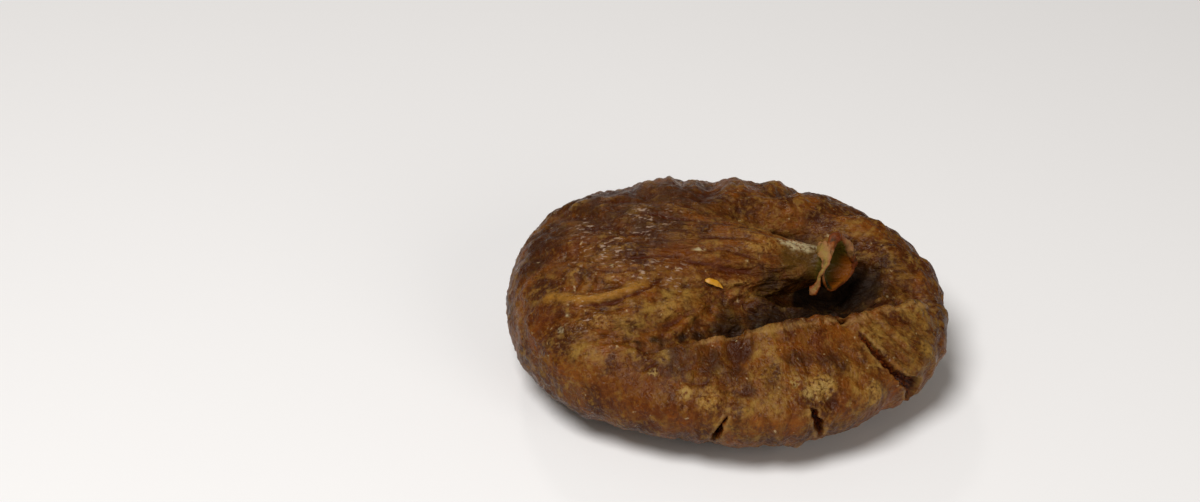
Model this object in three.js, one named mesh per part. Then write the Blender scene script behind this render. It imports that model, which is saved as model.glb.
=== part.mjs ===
// A dried fig. It rests on its flattened underside, and its neck is folded over to the right.
// Units are millimetres: +X is to the right, +Y to the back and +Z up. The origin is the middle
// of the flat spot that the fig rests on.
//
// The skin is one closed loft. Its rings start inside the torn mouth of the stalk, run back along
// the neck, spread over the crown with its fold and its lip, turn round the rim and close at the
// eye underneath, as the ribs of a fig run from the stalk to the eye.
//
// A column of the skin is named by its direction at the rim in degrees, from +X over +Y. A point on
// a column is named by its fall, an angle from 0 on top of the crown over a quarter turn at the rim
// to half a turn at the eye.
import * as THREE from "three";
import { LoftGeometry } from "three/addons/geometries/LoftGeometry.js";

// Driving dimensions of the fruit
const WIDTH = 50;
const CROWN_HEIGHT = 17.8;
const RIM_HEIGHT = 7;
const SAG_BELOW_REST = 0.45;

// How finely the skin is faceted
const COLUMNS = 132;
const ROWS_TO_LIP = 8;
const ROWS_TO_RIM = 7;
const ROWS_OF_BELLY = 7;
const ROWS_GATHER = 0.8;
const FLAT_REACH = 0.46;
const REACHES_ROUND_EYE = [0.3, 0.14, 0.08, 0.045, 0.02];

const clamp01 = (t) => Math.min(1, Math.max(0, t));
const mix = (a, b, t) => a + (b - a) * t;
const radians = (degrees) => (degrees * Math.PI) / 180;

// 0 below the first limit, 1 above the second, and an even S between them.
function ease(from, to, value) {
  const t = clamp01((value - from) / (to - from));
  return t * t * (3 - 2 * t);
}

// A bell of height 1 whose half width is spread.
const bell = (offset, spread) => Math.exp(-((offset / spread) ** 2));

// A direction in degrees brought to 0 to 360, and the signed turn from b to a.
const wrapped = (direction) => ((direction % 360) + 360) % 360;
const turnBetween = (a, b) => wrapped(a - b + 180) - 180;

// A smooth closed curve through pairs of a direction in degrees and a value, in rising directions.
function around(pairs, direction) {
  const n = pairs.length;
  const at = (k) => pairs[(k + n) % n][0] + 360 * Math.floor(k / n);
  const value = (k) => pairs[(k + n) % n][1];
  const slope = (k) => (value(k + 1) - value(k - 1)) / (at(k + 1) - at(k - 1));
  const turn = pairs[0][0] + wrapped(direction - pairs[0][0]);
  let k = 0;
  while (k + 1 < n && at(k + 1) <= turn) k++;
  const span = at(k + 1) - at(k);
  const t = (turn - at(k)) / span;
  const rise = value(k + 1) - value(k);
  const start = slope(k) * span - rise;
  const end = rise - slope(k + 1) * span;
  return value(k) + rise * t + t * (1 - t) * (start * (1 - t) + end * t);
}

// Eased steps through pairs of a share from 0 to 1 and a value.
function along(pairs, share) {
  let k = 0;
  while (k + 2 < pairs.length && pairs[k + 1][0] <= share) k++;
  const [from, a] = pairs[k];
  const [to, b] = pairs[k + 1];
  return mix(a, b, ease(from, to, share));
}

// Where a point lies beside a line of plan points: how far off, which share of the line is
// nearest, and on which side, positive on the left of the line's own direction.
function beside(line, x, y) {
  let best = { gap: Infinity, share: 0, side: 1 };
  for (let i = 0; i + 1 < line.length; i++) {
    const [ax, ay] = line[i];
    const [bx, by] = line[i + 1];
    const dx = bx - ax;
    const dy = by - ay;
    const t = clamp01(((x - ax) * dx + (y - ay) * dy) / (dx * dx + dy * dy));
    const gap = Math.hypot(x - ax - t * dx, y - ay - t * dy);
    if (gap < best.gap) {
      const side = dx * (y - ay) - dy * (x - ax) < 0 ? -1 : 1;
      best = { gap, share: (i + t) / (line.length - 1), side };
    }
  }
  return best;
}

const smoothLine = (points, closed, count) =>
  new THREE.CatmullRomCurve3(points.map(([x, y]) => new THREE.Vector3(x, y, 0)), closed, "catmullrom", 0.5)
    .getPoints(count)
    .map(({ x, y }) => [x, y]);

// The outline seen from above: its radius as a share of half the width, by direction in degrees.
const OUTLINE = [
  [0, 0.975],
  [12, 0.98],
  [30, 0.95],
  [60, 0.9],
  [90, 0.875],
  [115, 0.905],
  [135, 0.97],
  [150, 1.01],
  [165, 1.01],
  [180, 0.995],
  [200, 0.965],
  [215, 0.94],
  [228, 0.905],
  [240, 0.865],
  [262, 0.855],
  [283, 0.89],
  [300, 0.9],
  [320, 0.92],
  [333, 0.965],
  [345, 0.975],
];

function rimPoint(direction) {
  const radius = (WIDTH / 2) * around(OUTLINE, direction);
  return [radius * Math.cos(radians(direction)), radius * Math.sin(radians(direction))];
}

// How much lower than a level dome the crown would end at the rim, in millimetres by direction.
const CROWN_FALL = [
  [15, 2.6],
  [45, 1.2],
  [90, 0.6],
  [120, -0.4],
  [150, -1.1],
  [180, -0.4],
  [205, 0.8],
  [225, 2.8],
  [240, 5],
  [263, 6.8],
  [285, 6.6],
  [308, 5.8],
  [330, 5.2],
  [352, 5.2],
];

// A section of the fruit is a superellipse, and a point on it is given by its reach, from 0 at the
// middle to 1 at the rim, and its rise over the rim, from 1 on top to -1 underneath.
const CROWN_POWER = 2.45;
const BELLY_POWER = 2.5;

function section(fall) {
  const power = fall < Math.PI / 2 ? CROWN_POWER : BELLY_POWER;
  const s = Math.abs(Math.sin(fall));
  const c = Math.abs(Math.cos(fall));
  const size = (s ** power + c ** power) ** (1 / power);
  return { reach: s / size, rise: (Math.sign(Math.cos(fall)) * c) / size };
}

const crownFallAt = (reach) => Math.atan2(reach, (1 - reach ** CROWN_POWER) ** (1 / CROWN_POWER));

// The crown's columns leave from a point under the neck, and the belly's meet at the eye.
const NECK_ROOT = [-0.5, 0.4];
const EYE = [-3.4, 3.0];

// On the crown the columns swirl: one that leaves the rim at the left comes to the neck's front.
const SWIRL = { most: 55, at: 195, spread: 60 };

function swirled(column, reach) {
  return column + SWIRL.most * (1 - reach) * bell(turnBetween(column, SWIRL.at), SWIRL.spread);
}

// The edge of the front lobe in plan. It starts as a crease on the front left, becomes the lip in
// front of the neck and runs out to the right rim. Behind it lies the fold.
const LIP_POINTS = [
  [-15, -13.4],
  [-9.9, -14.5],
  [-5.5, -13.7],
  [-1.6, -12.8],
  [3.2, -12.2],
  [8.4, -10.8],
  [11.3, -9.8],
  [13.3, -9.5],
  [15.1, -8.2],
  [18.5, -5.8],
  [22.1, -3],
  [24.1, -1.4],
];
// Round the back this line goes on over the crown's shoulder. One row of the skin follows it.
const SHOULDER_POINTS = [
  [22.3, 3.5],
  [17.5, 8.5],
  [9.5, 12.2],
  [0, 12.6],
  [-9, 11.6],
  [-15, 7.2],
  [-17.6, 0.5],
  [-18, -6.5],
];
const LIP = smoothLine(LIP_POINTS, false, 44);
const GIRDLE = smoothLine([...LIP_POINTS, ...SHOULDER_POINTS], true, 120);
const GIRDLE_LIMIT = 0.97;

// The fold's depth and its width behind the lip, by share of the lip's length.
const FOLD_DEPTH = [
  [0, 0.4],
  [0.2, 1.8],
  [0.36, 5.0],
  [0.55, 6.3],
  [0.75, 5.8],
  [0.9, 3.4],
  [1, 0.8],
];
const FOLD_WIDTH = [
  [0, 3],
  [0.2, 8],
  [0.36, 14],
  [0.55, 17],
  [0.75, 16],
  [0.9, 11],
  [1, 6],
];
const FOLD_POWER = 1.2;
const LIP_WALL = { from: -0.2, to: 1.7 };
const LIP_CREST = { rise: 0.7, lean: 0.6, ahead: 0.5, spread: 1.2 };

// The hollow that the neck lies in, an ellipse in plan, level out to the floor share.
const HOLLOW = { x: 6.8, y: 0.6, halfLength: 14, halfDepth: 9.5, floor: 0.3, depth: 7.8 };

// How far the crown is pressed in at a plan point, and how far its skin is carried to the back.
function pressedIn(x, y) {
  const lip = beside(LIP, x, y);
  const behind = lip.gap * lip.side;
  const wall = ease(LIP_WALL.from, LIP_WALL.to, behind);
  const openness = clamp01(1 - behind / along(FOLD_WIDTH, lip.share));
  const fold = along(FOLD_DEPTH, lip.share) * wall * openness ** FOLD_POWER;
  const fromHollow = Math.hypot((x - HOLLOW.x) / HOLLOW.halfLength, (y - HOLLOW.y) / HOLLOW.halfDepth);
  const hollow = HOLLOW.depth * wall * (1 - ease(HOLLOW.floor, 1, fromHollow));
  const ends = ease(0.1, 0.4, lip.share) * (1 - ease(0.85, 1, lip.share));
  const crest = ends * bell(behind + LIP_CREST.ahead, LIP_CREST.spread);
  return { drop: Math.max(fold, hollow) - LIP_CREST.rise * crest, lean: LIP_CREST.lean * crest };
}

// The eye is a dimple with a small plug in it, with their radii in plan.
const EYE_DIMPLE = { depth: 1.3, floor: 0.8, edge: 3 };
const EYE_PLUG = { height: 0.6, edge: 1.1 };

function eyeRise(x, y) {
  const gap = Math.hypot(x - EYE[0], y - EYE[1]);
  const dimple = EYE_DIMPLE.depth * (1 - ease(EYE_DIMPLE.floor, EYE_DIMPLE.edge, gap));
  return dimple - EYE_PLUG.height * (1 - ease(0, EYE_PLUG.edge, gap));
}

// What presses the crown in fades out over this much of the rise next to the rim.
const RIM_MARGIN = 0.4;

function fruitPoint(column, fall) {
  const { reach, rise } = section(fall);
  if (rise <= 0) {
    const [rx, ry] = rimPoint(column);
    const x = mix(EYE[0], rx, reach);
    const y = mix(EYE[1], ry, reach);
    const belly = Math.max(0, RIM_HEIGHT + (RIM_HEIGHT + SAG_BELOW_REST) * rise);
    return new THREE.Vector3(x, y, belly + eyeRise(x, y));
  }
  const direction = swirled(column, reach);
  const [rx, ry] = rimPoint(direction);
  const x = mix(NECK_ROOT[0], rx, reach);
  const y = mix(NECK_ROOT[1], ry, reach);
  const height = CROWN_HEIGHT - RIM_HEIGHT - around(CROWN_FALL, direction) * reach;
  const { drop, lean } = pressedIn(x, y);
  const inland = ease(0, RIM_MARGIN, rise);
  return new THREE.Vector3(x, y + lean * inland, RIM_HEIGHT + height * rise - drop * inland);
}

// The reach at which the straight line from the neck's root in a direction crosses the girdle.
function girdleReach(direction) {
  const [ax, ay] = NECK_ROOT;
  const [rx, ry] = rimPoint(direction);
  const [dx, dy] = [rx - ax, ry - ay];
  for (let i = 0; i + 1 < GIRDLE.length; i++) {
    const [px, py] = GIRDLE[i];
    const [qx, qy] = GIRDLE[i + 1];
    const sideP = dx * (py - ay) - dy * (px - ax);
    const sideQ = dx * (qy - ay) - dy * (qx - ax);
    const forward = dx * (px - ax) + dy * (py - ay) > 0;
    if (forward && sideP <= 0 !== sideQ <= 0) {
      const t = sideP / (sideP - sideQ);
      const [x, y] = [mix(px, qx, t), mix(py, qy, t)];
      return Math.min(GIRDLE_LIMIT, Math.hypot(x - ax, y - ay) / Math.hypot(dx, dy));
    }
  }
  throw new Error("the girdle is open");
}

// The reach at which a swirling column crosses the girdle, found by halving.
const HALVINGS = 24;

function crossingReach(column) {
  let [low, high] = [0.3, 1];
  for (let i = 0; i < HALVINGS; i++) {
    const middle = (low + high) / 2;
    if (middle < girdleReach(swirled(column, middle))) low = middle;
    else high = middle;
  }
  return low;
}

// The neck and the torn stalk as rings, from inside the mouth back to the root: the centre, how far
// the ring is turned to the front and tipped up, in degrees, its half height and half width, and
// how much of the torn edge it has.
const NECK_RINGS = [
  { at: [10.5, -0.2, 13.9], turned: 38, tipped: 8, high: 0.5, wide: 0.4, torn: 0 },
  { at: [10.0, 0.1, 13.9], turned: 36, tipped: 8, high: 1.1, wide: 0.9, torn: 0 },
  { at: [11.0, -0.4, 13.9], turned: 38, tipped: 8, high: 2.1, wide: 1.7, torn: 0.2 },
  { at: [12.0, -0.9, 13.9], turned: 40, tipped: 8, high: 2.7, wide: 2.3, torn: 1 },
  { at: [11.8, -0.8, 13.9], turned: 40, tipped: 8, high: 3.2, wide: 2.8, torn: 1 },
  { at: [10.4, -0.1, 13.8], turned: 24, tipped: 2, high: 2.45, wide: 2.3, torn: 0.1 },
  { at: [8.8, 0.1, 13.6], turned: 8, tipped: 0, high: 2.4, wide: 2.3, torn: 0 },
  { at: [6.2, 0, 13.6], turned: 0, tipped: 6, high: 3.1, wide: 3.2, torn: 0 },
  { at: [2.5, 0.2, 14.1], turned: 0, tipped: 20, high: 4.1, wide: 4.8, torn: 0 },
];
const ROWS_PER_NECK_RING = [1, 1, 1, 1, 1, 1, 2, 3, 3];
const CROWN_START = 0.32;

// How far the torn edge stands out, in millimetres by direction: knobs at the top and the back,
// and a flap that hangs at the lower front.
const TORN_EDGE = [
  [0, -0.2],
  [35, 0.2],
  [75, 0.8],
  [105, -0.1],
  [150, 0],
  [180, 0.6],
  [215, -0.3],
  [260, 0.2],
  [310, 1.0],
  [335, 0.4],
];

// A ring's point for a direction at the neck's root: 0 is its underside and 180 its top.
function neckPoint({ at, turned, tipped, high, wide, torn }, direction) {
  const turn = radians(turned);
  const tip = radians(tipped);
  const ahead = new THREE.Vector3(Math.cos(turn), -Math.sin(turn), 0);
  const up = new THREE.Vector3(0, 0, Math.cos(tip)).addScaledVector(ahead, -Math.sin(tip));
  const near = new THREE.Vector3(-Math.sin(turn), -Math.cos(turn), 0);
  const round = radians(direction - 180);
  const spare = torn * around(TORN_EDGE, direction);
  return new THREE.Vector3(...at)
    .addScaledVector(up, (high + spare) * Math.cos(round))
    .addScaledVector(near, (wide + spare) * Math.sin(round));
}

// Ribs run down the skin from the neck to the eye, unevenly spaced and stronger on some sides.
const RIBS = [
  { count: 26, height: 0.26, drift: 1.6 },
  { count: 43, height: 0.13, drift: 2.3 },
];
const RIB_STRENGTH = [
  [0, 0.6],
  [28, 0.85],
  [52, 0.5],
  [78, 0.9],
  [104, 0.6],
  [130, 0.75],
  [160, 0.4],
  [195, 0.35],
  [225, 0.4],
  [250, 0.65],
  [270, 0.85],
  [295, 0.65],
  [320, 0.85],
];
const RIBS_AT_RIM = 1.25;
const RIBS_ON_NECK = 0.6;

function ribs(column) {
  const turn = radians(column);
  const wander = Math.sin(3 * turn + 0.4) + 0.6 * Math.sin(5 * turn + 2.1);
  const wave = ({ count, height, drift }) => height * Math.cos(count * turn + drift * wander);
  return around(RIB_STRENGTH, column) * RIBS.reduce((sum, rib) => sum + wave(rib), 0);
}

// Longer folds of the crown along a column: the reaches that they run between, their height and
// half width, and the depth of the crease on the front side of each.
const FOLDS = [
  { at: 196, from: 0.34, to: 0.97, height: 0.7, half: 1.2, crease: 0.75 },
  { at: 211, from: 0.4, to: 0.9, height: 0.35, half: 1.2, crease: 0.3 },
  { at: 222, from: 0.3, to: 0.8, height: 0.3, half: 1.2, crease: 0.3 },
  { at: 180, from: 0.3, to: 0.8, height: 0.35, half: 1.4, crease: 0.35 },
  { at: 163, from: 0.35, to: 1, height: 0.35, half: 1.5, crease: 0.4 },
  { at: 141, from: 0.3, to: 0.9, height: 0.4, half: 1.6, crease: 0.4 },
  { at: 116, from: 0.35, to: 0.95, height: 0.3, half: 1.5, crease: 0.5 },
  { at: 84, from: 0.3, to: 0.9, height: 0.35, half: 1.6, crease: 0.5 },
  { at: 52, from: 0.4, to: 1, height: 0.3, half: 1.5, crease: 0.5 },
  { at: 26, from: 0.4, to: 0.95, height: 0.35, half: 1.6, crease: 0.4 },
];
const CREASE = { ahead: 1.7, half: 0.7 };

function folds(column, reach, radius) {
  return FOLDS.reduce((sum, { at, from, to, height, half, crease }) => {
    const share = (reach - from) / (to - from);
    const ends = ease(0, 0.25, share) * (1 - ease(0.75, 1, share));
    const ahead = radians(turnBetween(column, at)) * radius;
    const dip = crease * bell(ahead - CREASE.ahead * half, CREASE.half * half);
    return sum + ends * (height * bell(ahead, half) - dip);
  }, 0);
}

// Splits in the skin of the front lobe: the column of the middle, how far it leans over its length,
// the falls it runs between, all in degrees, and its half width and depth.
const SPLITS = [
  { at: 324, lean: 8, from: 58, to: 114, half: 0.85, depth: 1.9 },
  { at: 265.8, lean: -5, from: 76, to: 116, half: 0.75, depth: 1.5 },
  { at: 296, lean: 7, from: 70, to: 118, half: 0.7, depth: 1.5 },
];

function splits(column, fall, radius) {
  return SPLITS.reduce((sum, { at, lean, from, to, half, depth }) => {
    const share = clamp01((fall - radians(from)) / radians(to - from));
    const opening = half * Math.sqrt(4 * share * (1 - share));
    const gap = Math.abs(radians(turnBetween(column, at + lean * (share - 0.5))) * radius);
    return gap < opening ? sum - depth * (1 - (gap / opening) ** 2) * (opening / half) : sum;
  }, 0);
}

// The columns, gathered round the splits and the first fold.
const GATHERINGS = [
  { at: SPLITS[0].at, times: 2.6, spread: 3.4 },
  { at: SPLITS[1].at, times: 2.6, spread: 2.8 },
  { at: SPLITS[2].at, times: 2.6, spread: 2.8 },
  { at: FOLDS[0].at, times: 1, spread: 6 },
];
const GATHERING_STEPS = 3600;

function gatheredColumns() {
  const total = [0];
  for (let i = 1; i <= GATHERING_STEPS; i++) {
    const column = (360 * (i - 0.5)) / GATHERING_STEPS;
    const density = GATHERINGS.reduce(
      (sum, { at, times, spread }) => sum + times * bell(turnBetween(column, at), spread),
      1,
    );
    total.push(total[i - 1] + density);
  }
  const columns = [];
  let i = 0;
  for (let k = 0; k < COLUMNS; k++) {
    const target = (total[GATHERING_STEPS] * k) / COLUMNS;
    while (total[i + 1] <= target) i++;
    columns.push((360 * (i + (target - total[i]) / (total[i + 1] - total[i]))) / GATHERING_STEPS);
  }
  return columns.reverse();
}

// The falls of a column's rows, from the crown's start over the girdle and the rim to the eye.
function fruitFalls(column) {
  const girdle = crownFallAt(crossingReach(column));
  const flat = Math.PI - Math.asin(FLAT_REACH);
  const rows = (from, to, count, power = 1) =>
    Array.from({ length: count }, (_, k) => mix(from, to, (k / count) ** power));
  return [
    ...rows(CROWN_START, girdle, ROWS_TO_LIP, ROWS_GATHER),
    ...rows(girdle, Math.PI / 2, ROWS_TO_RIM),
    ...rows(Math.PI / 2, flat, ROWS_OF_BELLY),
    flat,
    ...REACHES_ROUND_EYE.map((reach) => Math.PI - Math.asin(reach)),
  ];
}

// One column of the smooth skin from the mouth to the eye. Each point carries how strong the ribs
// are there, and on the fruit its fall.
function smoothColumn(column) {
  const falls = fruitFalls(column);
  const rootDirection = swirled(column, section(CROWN_START).reach);
  const guides = [
    ...NECK_RINGS.map((ring) => neckPoint(ring, rootDirection)),
    fruitPoint(column, falls[0]),
    fruitPoint(column, falls[2]),
  ];
  const curve = new THREE.CatmullRomCurve3(guides, false, "catmullrom", 0.5);
  const neck = [];
  ROWS_PER_NECK_RING.forEach((rows, ring) => {
    for (let k = 0; k < rows; k++) {
      const onwards = ring + k / rows;
      const point = curve.getPoint(onwards / (guides.length - 1));
      neck.push({ point, rib: RIBS_ON_NECK * ease(5, 9, onwards) });
    }
  });
  const fruit = falls.map((fall) => {
    const point = fruitPoint(column, fall);
    const { rise } = section(fall);
    const onCrown = mix(RIBS_AT_RIM, RIBS_ON_NECK, ease(0.3, 1, rise));
    return { point, rib: rise > 0 ? onCrown : RIBS_AT_RIM * ease(0.3, 4, point.z), fall };
  });
  return [...neck, ...fruit];
}

// How far the skin stands out at a point of the smooth skin.
function relief(column, { point, rib, fall }) {
  const ribbed = rib * ribs(column);
  if (fall === undefined) return ribbed;
  const radius = Math.hypot(point.x, point.y);
  const folded = fall < Math.PI / 2 ? folds(column, section(fall).reach, radius) : 0;
  return ribbed + folded + splits(column, fall, radius);
}

// The relief stands on the smooth skin along its normal, and nothing reaches below the flat spot.
function figSections() {
  const directions = gatheredColumns();
  const columns = directions.map(smoothColumn);
  const last = columns[0].length - 1;
  const at = (i, j) => columns[(i + COLUMNS) % COLUMNS][Math.min(last, Math.max(0, j))].point;
  return columns[0].map((_, j) =>
    directions.map((column, i) => {
      const onwards = at(i, j + 1).clone().sub(at(i, j - 1));
      const round = at(i + 1, j).clone().sub(at(i - 1, j));
      const outwards = round.cross(onwards).normalize();
      const point = at(i, j).clone().addScaledVector(outwards, relief(column, columns[i][j]));
      return point.setZ(Math.max(0, point.z));
    }),
  );
}

const skin = new THREE.MeshStandardMaterial({ color: 0x6b4420, roughness: 0.55, metalness: 0 });
const fig = new THREE.Mesh(new LoftGeometry(figSections(), { capStart: true, capEnd: true }), skin);
fig.name = "fig";

const group = new THREE.Group();
group.add(fig);
export default group;
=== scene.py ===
"""A sun-dried fig lying on a pale floor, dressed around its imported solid.

The skin repeats the solid's formulas on a finer grid and adds what the solid leaves out: wrinkles,
creases, pits and grain, a yellow ridge, a ragged crest and splits with pulp in them. Three small
pieces lie on it: the torn edge of the stalk's mouth, a strip that peels off beside it, and a flake
of husk. Shapes are worked out in millimetres, in the solid's own frame, and go into meshes in
metres.

A column of the skin is named by its direction at the rim in degrees, from +X over +Y. A point on
it is named by its fall: 0 on top of the crown, 90 degrees at the rim and 180 at the eye.
"""
import math

import bpy
import numpy as np
from mathutils import Matrix, Vector


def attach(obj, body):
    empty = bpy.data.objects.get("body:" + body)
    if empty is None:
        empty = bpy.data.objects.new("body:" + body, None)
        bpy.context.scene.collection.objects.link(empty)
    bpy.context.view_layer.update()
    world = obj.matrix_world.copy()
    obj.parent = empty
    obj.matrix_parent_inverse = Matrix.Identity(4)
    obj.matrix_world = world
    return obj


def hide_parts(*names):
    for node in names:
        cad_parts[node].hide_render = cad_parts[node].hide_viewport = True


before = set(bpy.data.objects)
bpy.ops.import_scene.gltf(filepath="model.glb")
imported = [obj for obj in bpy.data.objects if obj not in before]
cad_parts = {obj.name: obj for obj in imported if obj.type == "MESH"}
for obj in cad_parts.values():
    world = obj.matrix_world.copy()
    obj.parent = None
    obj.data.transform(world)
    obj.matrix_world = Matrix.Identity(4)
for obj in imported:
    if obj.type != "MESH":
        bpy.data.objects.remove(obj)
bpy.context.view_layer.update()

# Driving sizes of the fruit, as in the solid
WIDTH = 50
CROWN_HEIGHT = 17.8
RIM_HEIGHT = 7
SAG_BELOW_REST = 0.45
MM = 0.001
SHORTEST = 1e-9

# The camera: the photograph's frame, its lens, how far it looks down, the pixel where the origin
# falls, and how near it sees, in metres
PHOTO_WIDTH, PHOTO_HEIGHT = 1200, 502
LENS, SENSOR = 85.0, 36.0
LOOKS_DOWN = math.radians(32)
MM_PER_PIXEL = 0.1137
ORIGIN_PIXEL = (727, 367)
CLIP_START = 0.01

# How finely the skin is woven: its columns, the steps in which they are shared out, and its rows
COLUMNS = 512
SHARING_STEPS = 3600
ROWS_PER_NECK_RING = (2, 2, 4, 5, 7, 6, 6, 9, 9)
ROWS_TO_LIP = 50
ROWS_TO_RIM = 40
ROWS_OF_BELLY = 34
ROWS_TO_EYE = 14
ROWS_GATHER = 0.8
FLAT_REACH = 0.46
EYE_REACH = 0.012
# Rows of the fruit through which the neck's curves run on
GUIDE_ROWS = (0, 12)


def mix(a, b, t):
    """The value a share t of the way from a to b."""
    return a + (b - a) * t


def ease(low, high, value):
    """0 below low, 1 above high, and an even S between them."""
    t = np.clip((value - low) / (high - low), 0, 1)
    return t * t * (3 - 2 * t)


def bell(offset, spread):
    """A bell of height 1 whose half width is spread."""
    return np.exp(-((offset / spread) ** 2))


def lasting(share, comes, goes):
    """1 along a stretch of a line: it comes in between two shares and goes out between two others."""
    return ease(*comes, share) * (1 - ease(*goes, share))


def unit(vectors):
    """Vectors of length 1 in the same directions."""
    return vectors / np.maximum(np.linalg.norm(vectors, axis=-1, keepdims=True), SHORTEST)


def turn_between(a, b):
    """The signed turn in degrees from direction b to direction a."""
    return (a - b + 180) % 360 - 180


def around(pairs, direction):
    """A smooth closed curve through pairs of a direction in degrees and a value: a cubic between
    each two pairs, whose slope at a pair is that of the line between its neighbours."""
    at, value = np.array(pairs, float).T
    n = len(at)
    order = np.arange(-1, n + 2)
    at = at[order % n] + 360 * (order // n)
    value = value[order % n]
    slope = np.zeros(n + 3)
    slope[1:-1] = (value[2:] - value[:-2]) / (at[2:] - at[:-2])
    turn = at[1] + (direction - at[1]) % 360
    k = np.clip(np.searchsorted(at, turn, side="right") - 1, 1, n)
    span = at[k + 1] - at[k]
    t = (turn - at[k]) / span
    rise = value[k + 1] - value[k]
    start = slope[k] * span - rise
    end = rise - slope[k % n + 1] * span
    return value[k] + rise * t + t * (1 - t) * (start * (1 - t) + end * t)


def along(pairs, share):
    """Eased steps through pairs of a share and a value."""
    at, value = np.array(pairs, float).T
    k = np.clip(np.searchsorted(at, share, side="right") - 1, 0, len(at) - 2)
    t = np.clip((share - at[k]) / (at[k + 1] - at[k]), 0, 1)
    return mix(value[k], value[k + 1], t * t * (3 - 2 * t))


def through(guides, onwards):
    """The curve through guides, first axis, at onwards, counted in guides: a cubic between each two
    whose slope at a guide is half the step between its neighbours."""
    g = np.concatenate([2 * guides[:1] - guides[1:2], guides, 2 * guides[-1:] - guides[-2:-1]])
    k = np.clip(np.floor(onwards).astype(int), 0, len(guides) - 2)
    t = (onwards - k).reshape((-1,) + (1,) * (guides.ndim - 1))
    a, b = g[k + 1], g[k + 2]
    slope_a, slope_b = (b - g[k]) / 2, (g[k + 3] - a) / 2
    return (
        a * (2 * t**3 - 3 * t**2 + 1)
        + b * (3 * t**2 - 2 * t**3)
        + slope_a * (t**3 - 2 * t**2 + t)
        + slope_b * (t**3 - t**2)
    )


def smooth_line(points, closed, count):
    """count equal steps along the smooth curve through points in plan, back to the first point
    where the curve is closed."""
    p = np.array(points, float)
    if not closed:
        return through(p, np.linspace(0, len(p) - 1, count + 1))
    looped = np.concatenate([p[-1:], p, p[:2]])
    return through(looped, 1 + np.linspace(0, len(p), count + 1))


def beside(line, x, y):
    """Where plan points lie beside a line: how far off, the nearest share of the line, and on
    which side, positive on the left of the line's direction."""
    gap = np.full(x.shape, np.inf)
    share = np.zeros(x.shape)
    side = np.ones(x.shape)
    for i, ((ax, ay), (bx, by)) in enumerate(zip(line[:-1], line[1:])):
        dx, dy = bx - ax, by - ay
        t = np.clip(((x - ax) * dx + (y - ay) * dy) / (dx * dx + dy * dy), 0, 1)
        g = np.hypot(x - ax - t * dx, y - ay - t * dy)
        nearer = g < gap
        gap = np.where(nearer, g, gap)
        share = np.where(nearer, (i + t) / (len(line) - 1), share)
        side = np.where(nearer, np.where(dx * (y - ay) - dy * (x - ax) < 0, -1, 1), side)
    return gap, share, side


# Numbers that scatter the bits of a cell's three indices and of the seed, then mix them, in the
# lowest 32 bits, and how far apart the seeds of the three axes lie
AXIS_SCATTER, SEED_SCATTER = (73856093, 19349663, 83492791), 2654435761
MIXING = ((13, 1274126177), (16, 2246822519))
LAST_SHIFT, LOW_BITS, HALF_OF_BITS = 15, 0xFFFFFFFF, 0x7FFFFFFF
AXIS_SEEDS = 1000
NOISE_GAIN = 1.9


def lattice(cell, seed):
    """A number from -1 to 1 for each whole cell, by mixing the bits of its three indices."""
    bits = seed * SEED_SCATTER
    for axis, scatter in enumerate(AXIS_SCATTER):
        bits = bits ^ (cell[..., axis].astype(np.int64) * scatter)
    for shift, factor in MIXING:
        bits = ((bits ^ (bits >> shift)) * factor) & LOW_BITS
    return (bits ^ (bits >> LAST_SHIFT)) / HALF_OF_BITS - 1


def noise(points, size, seed):
    """Smooth noise of about -1 to 1 over points in space, with lumps of about size: each corner of
    a point's cell brings a slope of its own, and the eight are mixed by an even S."""
    p = points / np.asarray(size, float)
    cell = np.floor(p)
    f = p - cell
    s = f * f * f * (f * (f * 6 - 15) + 10)
    total = 0
    for corner in np.ndindex(2, 2, 2):
        weight = np.prod(np.where(corner, s, 1 - s), axis=-1)
        slopes = (
            lattice(cell + corner, seed + AXIS_SEEDS * axis) * (f[..., axis] - corner[axis])
            for axis in range(3)
        )
        total = total + weight * sum(slopes)
    return NOISE_GAIN * total


def rough(points, size, seed, octaves=3):
    """Noise summed over octaves, each half as large and half as strong as the one before."""
    layers = [noise(points, np.asarray(size, float) / 2**k, seed + k) / 2**k for k in range(octaves)]
    return sum(layers) / (2 - 0.5 ** (octaves - 1))


def strayed(points, size, amount, seed, octaves=3):
    """Points moved by noise of a size, by about amount along each axis."""
    return points + amount * np.stack([rough(points, size, seed + k, octaves) for k in range(3)], -1)


# The seed of each noise. A pair is for the two ways that a noise runs.
SEEDS = {
    "wander": 11, "swell": (31, 37), "grain": 47, "rag": 59, "crease": (71, 73), "pulp": 83, "crest": 91,
    "wrinkle": (101, 111), "torn_rim": 211, "ribbon": 223, "places": 301,
}


# The outline seen from above: its radius as a share of half the width, by direction in degrees
OUTLINE = (
    (0, 0.975), (12, 0.98), (30, 0.95), (60, 0.9), (90, 0.875), (115, 0.905), (135, 0.97),
    (150, 1.01), (165, 1.01), (180, 0.995), (200, 0.965), (215, 0.94), (228, 0.905), (240, 0.865),
    (262, 0.855), (283, 0.89), (300, 0.9), (320, 0.92), (333, 0.965), (345, 0.975),
)
# How much lower than a level dome the crown would end at the rim, in millimetres by direction
CROWN_FALL = (
    (15, 2.6), (45, 1.2), (90, 0.6), (120, -0.4), (150, -1.1), (180, -0.4), (205, 0.8), (225, 2.8),
    (240, 5), (263, 6.8), (285, 6.6), (308, 5.8), (330, 5.2), (352, 5.2),
)
CROWN_POWER, BELLY_POWER = 2.45, 2.5
NECK_ROOT = (-0.5, 0.4)
EYE = (-3.4, 3.0)
SWIRL_MOST, SWIRL_AT, SWIRL_SPREAD = 55, 195, 60

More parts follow.
